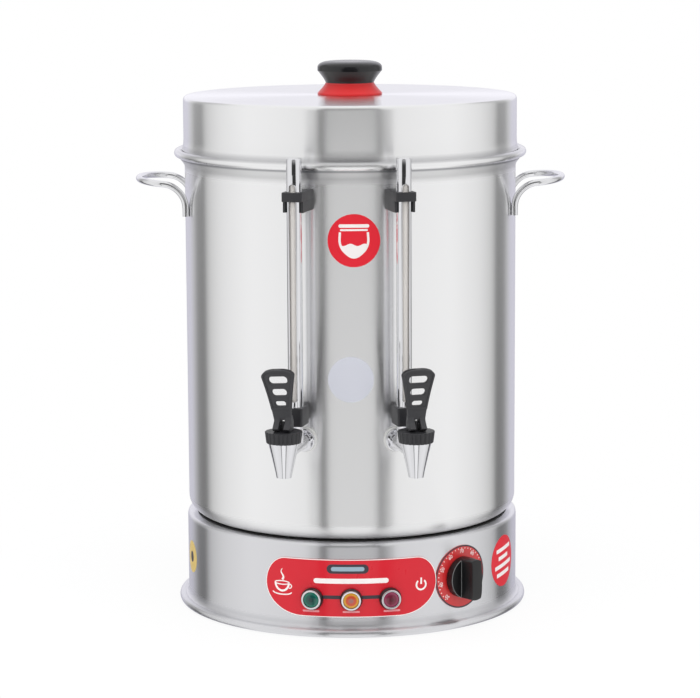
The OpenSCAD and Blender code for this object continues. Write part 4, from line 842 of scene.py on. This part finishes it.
red_enamel = plain_finish("red_enamel", tint(210, 20, 40), 0.30)
shader = principled(red_enamel)
shader.inputs["Specular IOR Level"].default_value = 0.28
shader.inputs["Coat Weight"].default_value = 0.4
shader.inputs["Coat Roughness"].default_value = 0.08
white_print = plain_finish("white_print", tint(246, 240, 238), 0.45)
pink_print = plain_finish("pink_print", tint(236, 150, 156), 0.45)
dark_print = plain_finish("dark_print", tint(58, 52, 60), 0.45)
pale_print = plain_finish("pale_print", tint(150, 176, 190), 0.45)
panel_z = 52.0
plate_back = 181.75
plate_t = 0.8
plate_face = plate_back + plate_t
print_lift = 0.08
panel_half = 93.5
bend_up = 3.0
low_bend = np.array([42.0, 34.0])
top_bend = np.array([23.0, 28.0])
low_corner = np.array([panel_half - low_bend[0], bend_up]) + arc((0, 0), 1.0, -90, 0, 30) * low_bend
top_corner = np.array([panel_half - top_bend[0], bend_up]) + arc((0, 0), 1.0, 0, 90, 30) * top_bend
right_line = np.vstack([low_corner, top_corner[1:]])
top_x = np.linspace(top_corner[-1, 0], -top_corner[-1, 0], 60)
top_line = np.stack([top_x, np.full(60, bend_up + top_bend[1])], axis=-1)[1:-1]
low_x = np.linspace(-low_corner[0, 0], low_corner[0, 0], 46)
low_line = np.stack([low_x, np.full(46, bend_up - low_bend[1])], axis=-1)[1:-1]
panel_outline = np.vstack([right_line, top_line, right_line[::-1] * [-1, 1], low_line])
panel = woven("panel_plate", patch(panel_outline, plate_back, plate_t, 0, panel_z, rings=25))
fitted(panel, red_enamel, "urn", "red_panel", "control_panel_plate")


def printed(name, material, slot, *grids):
    """One printed mark on the urn, made of one or more thin shapes."""
    return fitted(woven(name, *grids), material, "urn", slot)


def stadium(width, height, steps=18):
    """Bar with half round ends, round its own centre."""
    reach = (width - height) / 2
    right_end = arc((reach, 0), height / 2, -90, 90, steps)
    top = np.stack([np.linspace(reach, -reach, 14)[1:-1], np.full(12, height / 2)], axis=-1)
    return np.vstack([right_end, top, right_end[::-1] * [-1, 1], top[::-1] * [1, -1]])


def on_panel(outline, across, height, lift=print_lift, rings=5):
    """A filled mark on the panel, its centre at an arc length across and a height."""
    return patch(outline, plate_face, lift, np.degrees(across / base_r), height, rings=rings)


def drawn(line, width):
    """A drawn line on the panel, its points given as arc length across and height."""
    return ribbon(line, width, plate_face, print_lift, 0, 0)


# Painted highlight: a thin pale line along the plate's edge, where the edge catches the light.
edge_glint = ribbon(panel_outline * [0.9955, 0.987], 0.8, plate_face, print_lift, 0, panel_z, closed=True)
fitted(woven("panel_edge_glint", edge_glint, wrap_rows=True), white_print, "urn", "red_panel")
printed("panel_pill", dark_print, "red_panel", on_panel(stadium(44.0, 10.0), -3.5, 73.0, rings=9))
printed("pill_bar", pale_print, "red_panel", on_panel(stadium(35.0, 4.6), -3.5, 73.0, 2 * print_lift))
printed("panel_bar", white_print, "red_panel", on_panel(stadium(79.0, 5.4), 0.0, 60.0))
link_line = np.stack([np.linspace(-44, 44, 40), np.full(40, 42.6)], axis=-1)
printed("lamp_link", dark_print, "red_panel", drawn(link_line, 3.8))
for spot, across in (("left", -42.5), ("middle", 0.0), ("right", 43.0)):
    printed(spot + "_lamp_bar", pink_print, "red_panel", on_panel(stadium(18.0, 2.0), across, 27.0))

# The steaming cup and the power sign are drawn in lines. The steam thins out as it rises.
cup_across = -74.5
t = np.linspace(0.0, 1.0, 30)
steam = np.stack([cup_across + 0.3 + 1.3 * np.sin(2 * np.pi * t), 58.5 + 12 * t], axis=-1)
cup_rim = np.array([cup_across, 55.3]) + arc((0, 0), 1.0, 0, 359, 40) * [8.2, 1.9]
bowl_angle = np.radians(np.linspace(180, 360, 40))
bowl = np.stack([cup_across + 7.6 * np.cos(bowl_angle), 55.0 + 8.4 * np.sin(bowl_angle)], axis=-1)
ear = np.array([cup_across + 8.6, 52.0]) + arc((0, 0), 2.2, -110, 100, 20)
saucer = np.array([cup_across, 45.2]) + arc((0, 0), 1.0, 175, 365, 40) * [10.4, 2.6]
cup_lines = [drawn(steam, 0.6 + 1.9 * (1 - t)), drawn(cup_rim, 1.1), drawn(bowl, 2.2), drawn(ear, 1.1)]
printed("cup_sign", white_print, "red_panel", *cup_lines, drawn(saucer, 1.3))
power_across = 75.5
power_ring = np.array([power_across, 52.5]) + arc((0, 0), 5.4, 130, 410, 50)
power_bar = np.stack([np.full(6, power_across), np.linspace(53.0, 60.0, 6)], axis=-1)
printed("power_sign", white_print, "red_panel", drawn(power_ring, 1.9), drawn(power_bar, 1.9))

# Signal lamps: three black moulded bezels that go through the panel, with nuts behind it. Each has
# a bright ring and a coloured plastic lens.
lamp_face = 182.6
lamp_z = 40.5
lamp_step = 12.9
bezel_black = moulded_finish("bezel_black", tint(28, 28, 30), 0.35, 0.2, 1400.0, 0.00004)
bezel_profile = rounded(
    [(0, -10), (6, -10), (6, 0), (11.9, 0), (11.9, 3), (10.6, 5.6), (8.4, 5.6), (8.4, 2), (0, 2)],
    [0, 0.3, 0, 0.3, 0.6, 0.2, 0.1, 0.1, 0],
    False,
)
bezel_profile[:, 1] += lamp_face
ring_profile = rounded([(8.4, 5.6), (10.4, 5.6), (10.4, 7), (8.4, 7)], [0.1, 0.1, 0.7, 0.5])
ring_profile[:, 1] += lamp_face
lens_r = 8.3
lens_back = lamp_face + 2.05
lens_edge = lamp_face + 5.4
lens_bulge = 1.6
quarter = np.radians(np.linspace(0.0, 90.0, 14))
lens_dome = np.stack([lens_r * np.cos(quarter), lens_edge + lens_bulge * np.sin(quarter)], axis=-1)
lens_top = [(0, lens_edge + lens_bulge)]
lens_profile = np.vstack([[(0, lens_back), (lens_r, lens_back)], lens_dome[:-1], lens_top])
lamp_out = [outward(step * lamp_step) for step in (-1, 0, 1)]
bezels = woven("lamp_bezel", *[turned(bezel_profile, 48, (0, 0, lamp_z), out) for out in lamp_out])
fitted(bezels, bezel_black, "urn", "black_plastic", "lamp_bezels")
ring_grids = [turned(ring_profile, 48, (0, 0, lamp_z), out) for out in lamp_out]
rings = woven("lamp_ring", *ring_grids, wrap_rows=True)
fitted(rings, chrome, "urn", "chrome", "lamp_rings")

# A lens is darker or paler in its middle, where the lamp behind it shows through.
depth_inputs = {"Centre": "Vector", "Core": "Color", "Middle": "Color", "Edge": "Color"}
lens_depth, depth_in, depth_out = effect_group("lens_depth", depth_inputs, {"Color": "Color"})
place = lens_depth.nodes.new("ShaderNodeTexCoord")
off_axis = lens_depth.nodes.new("ShaderNodeVectorMath")
off_axis.operation = "DISTANCE"
wire = lens_depth.links.new
wire(place.outputs["Object"], off_axis.inputs[0])
wire(depth_in.outputs["Centre"], off_axis.inputs[1])
inner = depth_in.outputs["Core"]
for socket, begin, end in (("Middle", 0.0016, 0.0036), ("Edge", 0.0048, 0.0066)):
    zone = lens_depth.nodes.new("ShaderNodeMapRange")
    zone.interpolation_type = "SMOOTHSTEP"
    zone.inputs["From Min"].default_value = begin
    zone.inputs["From Max"].default_value = end
    mixed = lens_depth.nodes.new("ShaderNodeMix")
    mixed.data_type = "RGBA"
    wire(off_axis.outputs["Value"], zone.inputs["Value"])
    wire(zone.outputs["Result"], mixed.inputs["Factor"])
    wire(inner, mixed.inputs["A"])
    wire(depth_in.outputs[socket], mixed.inputs["B"])
    inner = mixed.outputs["Result"]
wire(inner, depth_out.inputs["Color"])
lens_tints = {
    "green": (tint(5, 50, 48), tint(6, 74, 66), tint(8, 104, 86)),
    "amber": (tint(150, 98, 92), tint(190, 74, 44), tint(206, 150, 44)),
    "red": (tint(84, 14, 34), tint(104, 22, 48), tint(136, 40, 76)),
}
for (name, (core, middle, rim)), out in zip(lens_tints.items(), lamp_out):
    lens_finish = plain_finish(name + "_lens", middle, 0.14)
    shader = principled(lens_finish)
    shader.inputs["Coat Weight"].default_value = 0.3
    shader.inputs["Coat Roughness"].default_value = 0.05
    centre = 0.001 * ((lamp_face + 6.5) * out + [0, 0, lamp_z])
    depth = applied(lens_finish, lens_depth, Centre=centre, Core=core, Middle=middle, Edge=rim)
    lens_finish.node_tree.links.new(depth.outputs["Color"], shader.inputs["Base Color"])
    lens = woven(name + "_lamp_lens", turned(lens_profile, 48, (0, 0, lamp_z), out))
    fitted(lens, lens_finish, "urn", name + "_lens", "lamp_lens_" + name)

# Thermostat: a red scale plate of thin sheet, bent to the drum and printed with marks and numbers.
# Its black bar knob is moulded and sits on the thermostat's shaft.
dial_az = 40.0
dial_z = 54.3
dial_r = 34.0
disc_line = arc((0, 0), 1.0, 0, 360, 97)[:-1]
red_dial = plain_finish("red_dial", tint(206, 44, 46), 0.32)
shader = principled(red_dial)
shader.inputs["Coat Weight"].default_value = 0.3
shader.inputs["Coat Roughness"].default_value = 0.1
dial = woven("dial_plate", patch(disc_line * dial_r, plate_back, plate_t, dial_az, dial_z, rings=13))
fitted(dial, red_dial, "urn", "red_dial", "thermostat_dial")
# Painted shade: a dark ring along the plate's edge stands for the shadow at the plate's thickness.
dial_edge_shade = ribbon(disc_line * (dial_r - 0.8), 1.5, plate_face, print_lift, dial_az, dial_z, closed=True)
fitted(woven("dial_edge_shade", dial_edge_shade, wrap_rows=True), dark_print, "urn", "red_dial")
mark_reach = np.linspace(29.9, 31.3, 3)
marks = []
for angle in np.radians(np.linspace(-45, 225, 33)):
    mark_line = mark_reach[:, None] * np.array([np.cos(angle), np.sin(angle)])
    marks.append(ribbon(mark_line, 0.8, plate_face, print_lift, dial_az, dial_z))
printed("dial_marks", white_print, "red_dial", *marks)

# The scale's numbers stand with their feet to the middle.
number_r = 27.4
number_lift = 0.04
numbers = []
number_moves = []
for order, degrees in enumerate(np.linspace(225, -45, 9)):
    number = bpy.data.curves.new("number", "FONT")
    number.body = str(30 + 10 * order)
    number.size = 5.6
    number.align_x = "CENTER"
    number.align_y = "CENTER"
    number.extrude = number_lift
    numbers.append(filled(number))

    def set_round(points, angle=np.radians(degrees - 90)):
        """A number set out on the dial's circle, and bent to the drum."""
        reach = number_r + points[:, 1]
        across = points[:, 0] * np.cos(angle) - reach * np.sin(angle)
        up = points[:, 0] * np.sin(angle) + reach * np.cos(angle)
        return wrapped(across, up, plate_face + number_lift + points[:, 2], dial_az, dial_z)

    number_moves.append(set_round)
scale_numbers = placed("dial_numbers", numbers, *number_moves)
fitted(scale_numbers, white_print, "urn", "red_dial")

# The knob: rows run up the bar, and each row's columns go in from the skirt's edge, up the bar's
# flank and over its top, and down again.
knob_black = moulded_finish("knob_black", tint(14, 14, 16), 0.36, 0.0, 1400.0, 0.00004)
knob_back = 183.15
skirt_r = 21.8
skirt_h = 8.0
grip_h = 24.5
grip_drop = 2.5
grip_foot = 7.9
grip_face = 7.0
rise_angle = np.radians(np.linspace(-90, 90, 61))[:, None]
chord = skirt_r * np.abs(np.cos(rise_angle))
foot = np.minimum(grip_foot, 0.92 * chord)
face = np.minimum(grip_face, 0.86 * chord)
bar_top = grip_h - grip_drop * np.sin(rise_angle) ** 4
column_x = np.concatenate([chord, chord, 0.975 * chord, foot, face], axis=1)
column_x = np.concatenate([column_x, 0.92 * face, 0.5 * face, 0 * chord], axis=1)
flat = 0 * chord
column_out = np.concatenate([flat, flat + skirt_h - 0.6, flat + skirt_h, flat + skirt_h], axis=1)
column_out = np.concatenate([column_out, bar_top - 0.6, bar_top, bar_top + 0.2, bar_top + 0.3], axis=1)
knob_x = np.concatenate([-column_x, column_x[:, -2::-1]], axis=1)
knob_out = knob_back + np.concatenate([column_out, column_out[:, -2::-1]], axis=1)
knob_up = dial_z + skirt_r * np.sin(rise_angle) * np.ones(knob_x.shape)
out = outward(dial_az)
along = np.array([-out[1], out[0], 0.0])
knob_grid = knob_x[:, :, None] * along + knob_out[:, :, None] * out + knob_up[:, :, None] * [0.0, 0.0, 1.0]
knob = woven("dial_knob", knob_grid, sharp=30)
fitted(knob, knob_black, "thermostat_knob", "black_knob", "thermostat_knob")

# The skirt's edge and the bar's foot carry thin grey lines: painted highlights along these edges.
knob_highlight_grey = plain_finish("knob_highlight_grey", tint(120, 122, 122), 0.4)
highlight_lines = []
highlit_rows = chord[:, 0] > 8.0
for edge_x in (0.97 * chord, foot):
    for hand in (-1, 1):
        line = hand * edge_x[highlit_rows] * along + knob_up[highlit_rows, :1] * [0.0, 0.0, 1.0]
        highlight_lines.append(rod(line + (knob_back + skirt_h) * out, 0.35, 8))
fitted(woven("knob_edge_highlights", *highlight_lines), knob_highlight_grey, "thermostat_knob", "black_knob")

# Stickers: discs of thin printed film, glued on the pot and on the base. Their prints are plain
# shapes.
sticker_red = plain_finish("sticker_red", tint(226, 18, 42), 0.38)
sticker_pale = plain_finish("sticker_pale", tint(214, 216, 226), 0.35)
sticker_yellow = plain_finish("sticker_yellow", tint(226, 196, 110), 0.4)
film = 0.1
ink = 0.06
on_pot = wall_r + 0.02
on_base = base_r + 0.02
pot_az = 1.5
front_az = 64.8
front_z = 56.4
side_az = -74.0
side_z = 55.5
printed("pot_sticker", sticker_red, "satin_steel", patch(disc_line * 27.5, on_pot, film, pot_az, 418.8))
printed("notice_disc", sticker_pale, "satin_steel", patch(disc_line * 24.0, on_pot, film, 0.3, 273.8))
printed("base_sticker", sticker_red, "satin_steel", patch(disc_line * 28.0, on_base, film, front_az, front_z))
side_disc = patch(disc_line * 17.5, on_base, film, side_az, side_z)
printed("side_sticker", sticker_yellow, "satin_steel", side_disc)
printed("side_dot", dark_print, "satin_steel", patch(disc_line * 6.0, on_base + film, ink, side_az, side_z))

# On the pot's sticker stands a plain white pot: a lid bar, and a body that is half full.
sign_r = on_pot + film
lid_bar = patch(stadium(32.0, 3.6), sign_r, ink, pot_az, 434.0, rings=5)
under_bar = patch(stadium(29.0, 2.0), sign_r, ink, pot_az, 429.8, rings=5)
body_corners = [(-14.5, 427.5), (-15.5, 412), (0, 398.5), (15.5, 412), (14.5, 427.5)]
body_line = rounded(body_corners, [0, 9, 9, 9, 0], False)
body_edge = ribbon(body_line, 2.4, sign_r, ink, pot_az, 0)
level = np.stack([np.linspace(15, -15, 20), 1.2 * np.sin(np.linspace(0, 4 * np.pi, 20))], axis=-1)
bowl_corners = [(-15, 0), (-15, -3), (0, -15.5), (15, -3), (15, 0)]
half_full = np.vstack([level, rounded(bowl_corners, [0, 3, 8, 3, 0], False)])
fill = patch(half_full, sign_r, ink, pot_az, 414.5, centre=(0, -5))
printed("pot_sign", white_print, "satin_steel", lid_bar, under_bar, body_edge, fill)

# On the base's sticker stand four plain slanted bars.
slant_bars = []
for across, up, length in ((1, 13.5, 36), (0, 4.5, 24), (1, -4.5, 42), (0, -13.5, 32)):
    run = np.linspace(-0.5, 0.5, 8) * length
    slant = np.stack([across + run, up + 0.08 * run], axis=-1)
    slant_bars.append(ribbon(slant, 4.4, on_base + film, ink, front_az, front_z))
printed("base_sign", white_print, "satin_steel", *slant_bars)

# Pieces that show little or not at all keep their solid form and get the finish of what they are:
# rubber, zinc-plated fasteners, the heater's metals and the parts inside the base.
zinc = plain_finish("zinc", tint(190, 192, 196), 0.35, 1.0)
copper = plain_finish("copper", tint(196, 128, 92), 0.3, 1.0)
aluminium = plain_finish("aluminium", tint(196, 198, 200), 0.4, 1.0)
dark_sheath = plain_finish("dark_sheath", tint(70, 72, 72), 0.45, 1.0)
ceramic = plain_finish("ceramic", tint(236, 230, 214), 0.5)
silicone = plain_finish("silicone", tint(232, 232, 230), 0.5)
case_brown = plain_finish("case_brown", tint(96, 84, 70), 0.5)
by_slot = {
    "satin_steel": satin_steel,
    "polished_rod": bright_rod,
    "black_rubber": rubber,
    "zinc_fasteners": zinc,
    "black_plastic": black_plastic,
    "chrome": chrome,
    "thermostat_case": case_brown,
    "copper": copper,
    "spreader_aluminium": aluminium,
    "element_sheath": dark_sheath,
    "ceramic": ceramic,
    "silicone": silicone,
}
slots = {row["node"]: row["material_slot"] for row in frame["record"]["subparts"]}
for name, node in frame["nodes"].items():
    if not node.hide_render:
        node.data.materials.clear()
        node.data.materials.append(by_slot.get(slots.get(name), zinc))

# Floor: a plain white table top. To the camera most of it is a white glow, and it fades out towards
# its edge, so that it and the white room behind are one.
floor_white = bpy.data.materials.new("floor_white")
floor_white.use_nodes = True
nodes = floor_white.node_tree.nodes
link = floor_white.node_tree.links.new
nodes.clear()
surface = nodes.new("ShaderNodeOutputMaterial")
matt = nodes.new("ShaderNodeBsdfDiffuse")
matt.inputs["Color"].default_value = (0.92, 0.92, 0.92, 1.0)
glow = nodes.new("ShaderNodeEmission")
ray = nodes.new("ShaderNodeLightPath")
lit_share = nodes.new("ShaderNodeMath")
lit_share.operation = "MULTIPLY"
lit_share.inputs[1].default_value = 0.86
blend = nodes.new("ShaderNodeMixShader")
spot = nodes.new("ShaderNodeTexCoord")
away = nodes.new("ShaderNodeVectorMath")
away.operation = "LENGTH"
fade = nodes.new("ShaderNodeMapRange")
fade.interpolation_type = "SMOOTHSTEP"
fade.inputs["From Min"].default_value = 0.30
fade.inputs["From Max"].default_value = 0.75
clear = nodes.new("ShaderNodeBsdfTransparent")
faded = nodes.new("ShaderNodeMixShader")
link(ray.outputs["Is Camera Ray"], lit_share.inputs[0])
link(lit_share.outputs[0], blend.inputs["Fac"])
link(matt.outputs[0], blend.inputs[1])
link(glow.outputs[0], blend.inputs[2])
link(spot.outputs["Object"], away.inputs[0])
link(away.outputs["Value"], fade.inputs["Value"])
link(fade.outputs["Result"], faded.inputs["Fac"])
link(blend.outputs[0], faded.inputs[1])
link(clear.outputs[0], faded.inputs[2])
link(faded.outputs[0], surface.inputs["Surface"])
floor_mesh = bpy.data.meshes.new("floor")
floor_corners = 0.8 * np.array([(-1, -1, 0), (1, -1, 0), (1, 1, 0), (-1, 1, 0)])
floor_mesh.from_pydata(floor_corners.tolist(), [], [(0, 1, 2, 3)])
floor_mesh.materials.append(floor_white)
floor = bpy.data.objects.new("floor", floor_mesh)
bpy.context.scene.collection.objects.link(floor)
floor.visible_glossy = False

# Room: what the steel mirrors. It changes with the height of the gaze: a white table below, four
# storeys with bright sides, grey gaps at the back corners and each its own front, dark in parts, and
# a white ceiling. To the camera the room is plain white.
world = bpy.data.worlds.new("studio")
bpy.context.scene.world = world
world.use_nodes = True
nodes = world.node_tree.nodes
link = world.node_tree.links.new
nodes.clear()
sky = nodes.new("ShaderNodeOutputWorld")
seen = nodes.new("ShaderNodeBackground")
seen.inputs["Color"].default_value = (1.0, 1.0, 1.0, 1.0)
room = nodes.new("ShaderNodeBackground")
ray = nodes.new("ShaderNodeLightPath")
choose = nodes.new("ShaderNodeMixShader")
gaze = nodes.new("ShaderNodeTexCoord")
split = nodes.new("ShaderNodeSeparateXYZ")
forward = nodes.new("ShaderNodeMath")
forward.operation = "MULTIPLY"
forward.inputs[1].default_value = -1.0
bearing = nodes.new("ShaderNodeMath")
bearing.operation = "ARCTAN2"
share_round = nodes.new("ShaderNodeMapRange")
share_round.inputs["From Min"].default_value = -np.pi
share_round.inputs["From Max"].default_value = np.pi
link(gaze.outputs["Generated"], split.inputs[0])
link(split.outputs["Y"], forward.inputs[0])
link(split.outputs["X"], bearing.inputs[0])
link(forward.outputs[0], bearing.inputs[1])
link(bearing.outputs[0], share_round.inputs["Value"])


def room_ramp(stops):
    """Colour of the room by bearing: each stop is degrees to the right of the front, and a grey
    or a colour."""
    ramp = nodes.new("ShaderNodeValToRGB")
    marks = ramp.color_ramp.elements
    while len(marks) < len(stops):
        marks.new(0.5)
    for mark, (degrees, colour) in zip(marks, stops):
        mark.position = (degrees + 180.0) / 360.0
        mark.color = (*np.broadcast_to(colour, 3).tolist(), 1.0)
    link(share_round.outputs["Result"], ramp.inputs["Fac"])
    return ramp


def rising(begin, end):
    """Share that grows from nothing to one between two heights of the gaze, as sines."""
    step = nodes.new("ShaderNodeMapRange")
    step.interpolation_type = "SMOOTHSTEP"
    step.inputs["From Min"].default_value = begin
    step.inputs["From Max"].default_value = end
    link(split.outputs["Z"], step.inputs["Value"])
    return step


left_side = [(-114, 0.70), (-100, 0.84), (-75, 0.94), (-50, 0.9), (-31, 0.86)]
right_side = [(degrees * -1, level) for degrees, level in left_side[::-1]]


def storey_ramp(haze, gap, front):
    """One storey of the room: haze at the back, a gap of a given grey at each back corner, bright
    sides, and its own front."""
    left_gap = [(-180, haze), (-150, haze), (-140, gap + 0.2), (-134, gap), (-122, gap), (-119, 0.62)]
    right_gap = [(119, 0.62), (122, gap), (134, gap), (140, gap + 0.2), (150, haze), (180, haze)]
    return room_ramp(left_gap + left_side + front + right_side + right_gap)


low_front = [(-23, 0.82), (-22, 0.16), (-17.5, 0.16), (-16.5, 1.0), (18, 1.0), (19.5, 0.3), (23.5, 0.3)]
dark_front = [(-29.5, 0.6), (-28, 0.04), (28.5, 0.04), (30, 0.6)]
high_front = [(-23, 0.82), (-22, 0.12), (-17.5, 0.12), (-16.5, 0.44), (21, 0.44), (24, 0.8)]
upper_front = [(-22, 0.82), (-20, 0.15), (20, 0.15), (23, 0.82)]
gaze_colour = room_ramp([(-180, 1.0), (180, 1.0)]).outputs["Color"]
for begin, end, storey in (
    (-0.85, -0.72, storey_ramp((0.58, 0.57, 0.65), 0.08, low_front)),
    (-0.15, -0.11, storey_ramp((0.60, 0.59, 0.67), 0.40, dark_front)),
    (-0.01, 0.05, storey_ramp((0.92, 0.91, 0.97), 0.46, high_front)),
    (0.12, 0.25, storey_ramp((0.92, 0.91, 0.97), 0.46, upper_front)),
    (0.60, 0.75, room_ramp([(-180, 0.95), (180, 0.95)])),
):
    step_up = nodes.new("ShaderNodeMix")
    step_up.data_type = "RGBA"
    link(rising(begin, end).outputs["Result"], step_up.inputs["Factor"])
    link(gaze_colour, step_up.inputs["A"])
    link(storey.outputs["Color"], step_up.inputs["B"])
    gaze_colour = step_up.outputs["Result"]
link(gaze_colour, room.inputs["Color"])
link(ray.outputs["Is Camera Ray"], choose.inputs["Fac"])
link(room.outputs[0], choose.inputs[1])
link(seen.outputs[0], choose.inputs[2])
link(choose.outputs[0], sky.inputs["Surface"])

# Lights: two wide soft panels, one above and a little in front, and one behind the camera that brings
# out the colours. Neither is mirrored.


def soft_panel(name, width, depth, power, place, tilt):
    """Rectangular lamp, in metres and watts, tilted by degrees from facing straight down."""
    light = bpy.data.lights.new(name, "AREA")
    light.shape = "RECTANGLE"
    light.size = width
    light.size_y = depth
    light.energy = power
    lamp = bpy.data.objects.new(name, light)
    lamp.location = place
    lamp.rotation_euler = (np.radians(tilt), 0.0, 0.0)
    lamp.visible_glossy = False
    bpy.context.scene.collection.objects.link(lamp)


soft_panel("top_panel", 2.2, 1.4, 22.0, (0.0, -0.6, 2.4), -14.0)
soft_panel("front_panel", 3.0, 2.4, 36.0, (0.0, -3.3, 1.5), 68.0)

# Camera: almost straight on from the front, a little above the lid, with a long lens. Its place and
# its lens are fitted to the rims, the lid, the base and the handles.
camera_data = bpy.data.cameras.new("camera")
camera_data.sensor_width = 36.0
camera_data.lens = 139.29
camera_data.shift_x = -0.0015
camera_data.shift_y = -0.02104
camera_az = np.radians(0.4)
camera_drop = 0.1557
camera_roll = 0.005
camera_back = 2.9447
camera_z = 0.7555
ahead = np.array([-np.sin(camera_az), np.cos(camera_az), 0.0])
right = np.array([np.cos(camera_az), np.sin(camera_az), 0.0])
gaze_line = np.cos(camera_drop) * ahead + np.array([0.0, 0.0, -np.sin(camera_drop)])
head_up = np.sin(camera_drop) * ahead + np.array([0.0, 0.0, np.cos(camera_drop)])
stand = np.eye(4)
stand[:3, 0] = right - camera_roll * head_up
stand[:3, 1] = head_up + camera_roll * right
stand[:3, 2] = -gaze_line
stand[:3, 3] = -camera_back * ahead + np.array([0.0, 0.0, camera_z])
camera = bpy.data.objects.new("camera", camera_data)
camera.matrix_world = Matrix(stand.tolist())
bpy.context.scene.collection.objects.link(camera)
bpy.context.scene.camera = camera
bpy.context.scene.view_settings.view_transform = "Standard"
